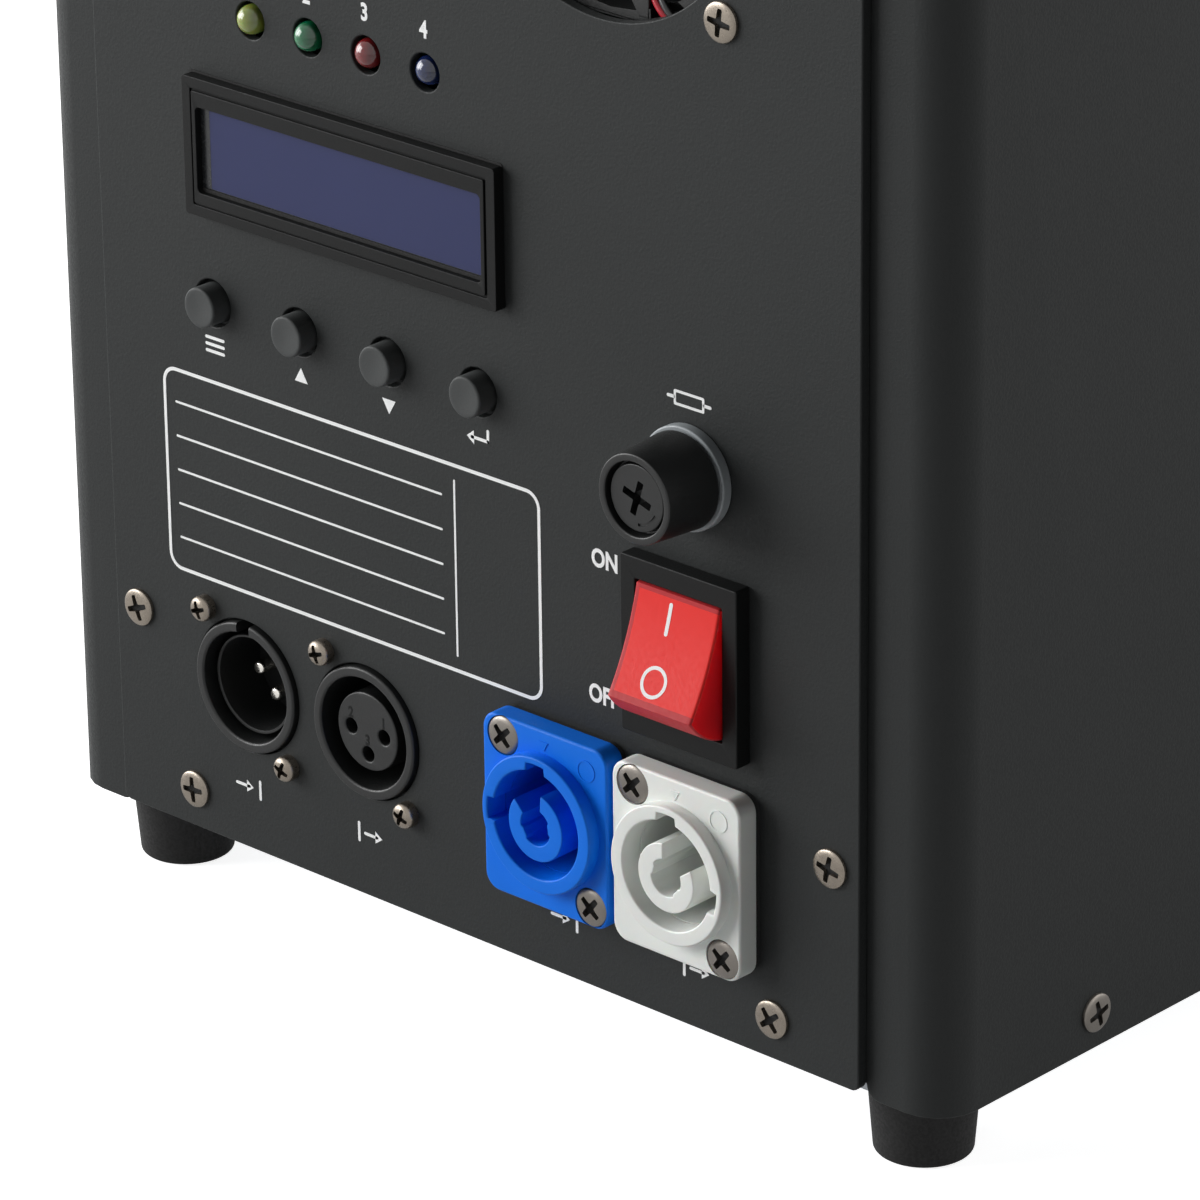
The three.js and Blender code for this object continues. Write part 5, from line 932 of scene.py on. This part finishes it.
def fanPieces():
    at = (fan["x"], panelY, panelLow + fan["height"])
    rear = fanShape["rear"]
    end = rear - fanShape["hubLength"]
    profile = [(4.4, rear - 3), (4.4, rear), (fanShape["hub"], rear), (fanShape["hub"], end), (0, end), (0, rear - 3)]
    hub = turned(rounded(profile, 0.5, 4, False) + profile[:1], 72)
    blades = [(fanBlade(2 * math.pi * i / fanShape["blades"]), "abs") for i in range(fanShape["blades"])]
    addPiece("fanWheel", "fan_rotor", [(hub, "abs")] + blades, at, "panel", ["fan_rotor"])
    strut = [(5.8, -28.9), (7.9, -28.9), (7.9, -25.8), (-1.5, -9), (-5.8, -9), (4.1, -26.3)]
    holder = [plate([circle(0, 0, 11.6, 72)], -4.3, -2.2, 0.3)]
    holder += [plate([moved(strut, 0, 0, math.radians(90 * i))], -4.2, -2.2, 0.2) for i in range(4)]
    addPiece("fanHolder", "machine", [(mesh, "abs") for mesh in holder], at, "panel")
    for k, (finish, slot) in enumerate((("redWire", "red_plastic"), ("blackWire", "black_plastic"))):
        shift = 1.6 * k
        path = [(6.2 + shift, -20, -6), (7.6 + shift, -24.8, -3.6), (9.5 + shift, -27, -3),
                (11.4 + shift, -28.5, -3.1), (14 + shift, -30.6, -4)]
        addPiece(finish, "machine", [(tube(path, 0.62), finish)], at, "panel", [])
    edge = arc(fan["opening"] - 0.05, range(-74, -58, 3))
    notch = plate([[(7.95, -21)] + edge + [(17, -30), (18, -27), (13, -24.4), (11.4, -21)]], -7, -1.2)
    notch.transform(toMetres @ Matrix.Translation(at) @ sides["panel"])
    return notch


wireNotch = fanPieces()
print("fan made")

# Top: turned outlet, lid with its knob

outlet = {"profile": [(14.3, -16.5), (20, -16.5), (20, 0), (28, 0), (28, 2), (19, 2), (12.5, -6), (12.5, -8.3),
                      (14.3, -8.3)], "edge": 0.6}
lidShape = {"profile": [(0, 1.5), (26.3, 1.5), (26.3, 0.4), (27.5, 0.4), (27.5, 4), (4.5, 4), (4.5, 6.6), (6.5, 8.2),
                        (6.5, 12), (0, 12)], "edge": 0.7, "behind": 60, "pinBehind": 31, "pinHeight": 3}


def topPieces():
    ring = rounded(outlet["profile"], outlet["edge"], 4)
    addPiece("outletRingTurned", "machine", [(turned(ring + ring[:1], 128), "stainless")],
             (0, housing["middleY"], housing["top"]), "top", ["outlet_ring"])
    lid = turned(rounded(lidShape["profile"], lidShape["edge"], 5, False), 128)
    tongue = plate([box(0, 29.3, 12, 7.4, 0.4)], 1.5, 4, 0.25)
    knuckle = plate([circle(0, 0, 2.6, 40), circle(0, 0, 1.8, 32)], -6, 6, 0.2)
    knuckle.transform(Matrix.Rotation(math.radians(90), 4, "Y"))
    shifted(knuckle, 0, lidShape["pinBehind"], lidShape["pinHeight"])
    addPiece("lidTurned", "lid", [(mesh, "powderCoat") for mesh in (lid, tongue, knuckle)],
             (0, housing["middleY"] + lidShape["behind"], housing["top"]), "top", ["hopper_lid"])


# The seal and the fuse's ends take their places from the frame's own nodes
def sealRing():
    low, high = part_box("hopper_seal")
    outer, tall = (high[0] - low[0]) * 500, (high[2] - low[2]) * 1000
    profile = rounded([(outer - 2, 0), (outer, 0), (outer, tall), (outer - 2, tall)], 0.7, 5)
    centre = [(low[k] + high[k]) * 500 for k in (0, 1)]
    addPiece("sealTurned", "machine", [(turned(profile + profile[:1], 128), "silicone")],
             (centre[0], centre[1], low[2] * 1000), "top", ["hopper_seal"])


# Nickel ends crimped on the fuse's glass
def fuseEnds():
    low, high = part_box("fuse_cartridge")
    r, front, rear = (high[0] - low[0]) * 500, -low[1] * 1000 + panelY, -high[1] * 1000 + panelY
    centre = [(low[k] + high[k]) * 500 for k in (0, 2)]
    for name, start, end in (("fuseEndRear", rear - 0.15, rear + 5), ("fuseEndFront", front - 5, front + 0.05)):
        profile = rounded([(0, start), (r + 0.12, start), (r + 0.12, end), (0, end)], 0.3, 4, False)
        addPiece(name, "fuse", [(turned(profile, 48), "nickel")], (centre[0], panelY, centre[1]), "panel", [])


topPieces()
sealRing()
fuseEnds()
print("top made")

# Frame nodes that stay: finish, and the width of a small round on their edges in mm

kept = {
    "base_tray": ("zinc", 0.2), "display_module": ("circuitBoard", 0.1), "control_board": ("circuitBoard", 0.1),
    "fuse_cartridge": ("fuseGlass", 0.2), "heating_tube": ("stainless", 0.1), "tube_sleeve": ("ceramic", 0.1),
    "heater_coil": ("copper", 0), "mixing_block": ("aluminium", 0.3), "blower_housing": ("abs", 0.3),
    "blower_impeller": ("abs", 0.1), "hopper": ("stainless", 0.1),
    "lid_hinge_base": ("stainless", 0.15), "lid_hinge_pin": ("stainless", 0.15), "feed_housing": ("aluminium", 0.3),
    "feed_wheel": ("whiteNylon", 0.15), "feed_motor": ("zinc", 0.2), "feed_bracket": ("zinc", 0.2),
    "feed_chute": ("stainless", 0.1), "power_board": ("circuitBoard", 0.1), "heater_board": ("circuitBoard", 0.1),
}
for name, (finish, edge) in kept.items():
    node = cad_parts[name]
    for place in node.material_slots:
        place.material = materials[finish]
    for face in node.data.polygons:
        face.use_smooth = True
    weld = node.modifiers.new("weld", "WELD")
    weld.merge_threshold = 0.000002
    if edge:
        addBevel(node, edge, 35, True)
for name in ("left_cover", "right_cover", "top_plate"):
    addRefined(name, "powderCoat", 0.3)
for name in ("left_handle", "right_handle"):
    addRefined(name, "abs", 0.5)
addRefined("fan_frame", "abs", 0.35, wireNotch)
print("frame nodes finished")

# Floor, world and lamps

backdrop = {"floorHalf": 6, "paper": (0.8, 0.8, 0.8, 1), "floorWhite": (0.85, 0.35, 0), "skyWhite": (1, 1, 0.025)}
floorMesh = bpy.data.meshes.new("floor")
floorMesh.from_pydata([(x, y, 0) for x, y in box(0, 0, 2 * backdrop["floorHalf"], 2 * backdrop["floorHalf"])], [],
                      [(0, 1, 2, 3)])
floor = bpy.data.objects.new("floor", floorMesh)
scene.collection.objects.link(floor)


# How white the floor or the sky is: for the camera, for rays by which metal and glass show it, and for the rest
def whiteness(tree, toCamera, inGloss, otherwise):
    path = addNode(tree, "LightPath")
    either = addNode(tree, "Math", {"operation": "MAXIMUM"},
                     {0: (path, "Is Glossy Ray"), 1: (path, "Is Transmission Ray")})
    gloss = addNode(tree, "MapRange", {"To Min": otherwise, "To Max": inGloss}, {"Value": (either, "Value")})
    return addNode(tree, "MapRange", {"To Max": toCamera},
                   {"Value": (path, "Is Camera Ray"), "To Min": (gloss, "Result")})


paper = bpy.data.materials.new("paper")
paper.use_nodes = True
tree = paper.node_tree
tree.nodes.clear()
lit = addNode(tree, "BsdfDiffuse", {"Color": backdrop["paper"]})
white = addNode(tree, "Emission", {}, {"Strength": (whiteness(tree, *backdrop["floorWhite"]), "Result")})
both = addNode(tree, "AddShader", {}, {0: (lit, "BSDF"), 1: (white, "Emission")})
addNode(tree, "OutputMaterial", {}, {"Surface": (both, "Shader")})
floorMesh.materials.append(paper)

world = bpy.data.worlds.new("studio")
world.use_nodes = True
worldTree = world.node_tree
worldTree.nodes.clear()
sky = addNode(worldTree, "Background", {"Color": (1, 1, 1, 1)},
              {"Strength": (whiteness(worldTree, *backdrop["skyWhite"]), "Result")})
addNode(worldTree, "OutputWorld", {}, {"Surface": (sky, "Background")})
scene.world = world

softBoxes = {  # name: place, aimed at, size, watts
    "key": ((-3, -2.6, 1.5), (0, 0, 0.12), 2.4, 138),
    "low": ((-1.8, -0.5, 0.5), (0, 0, 0.12), 1.2, 21),
    "rear": ((1.5, 1.3, 0.9), (0, 0, 0.12), 2, 17),
    "behind": ((-0.5, 1.5, 1.5), (0, 0, 0.12), 1.2, 15),
}
for name, (place, aim, size, power) in softBoxes.items():
    light = bpy.data.lights.new(name, "AREA")
    light.size = size
    light.energy = power
    holder = bpy.data.objects.new(name, light)
    holder.location = place
    holder.rotation_euler = (Vector(aim) - Vector(place)).to_track_quat("-Z", "Y").to_euler()
    scene.collection.objects.link(holder)
scene.view_settings.view_transform = "Standard"
print("floor and lamps made")
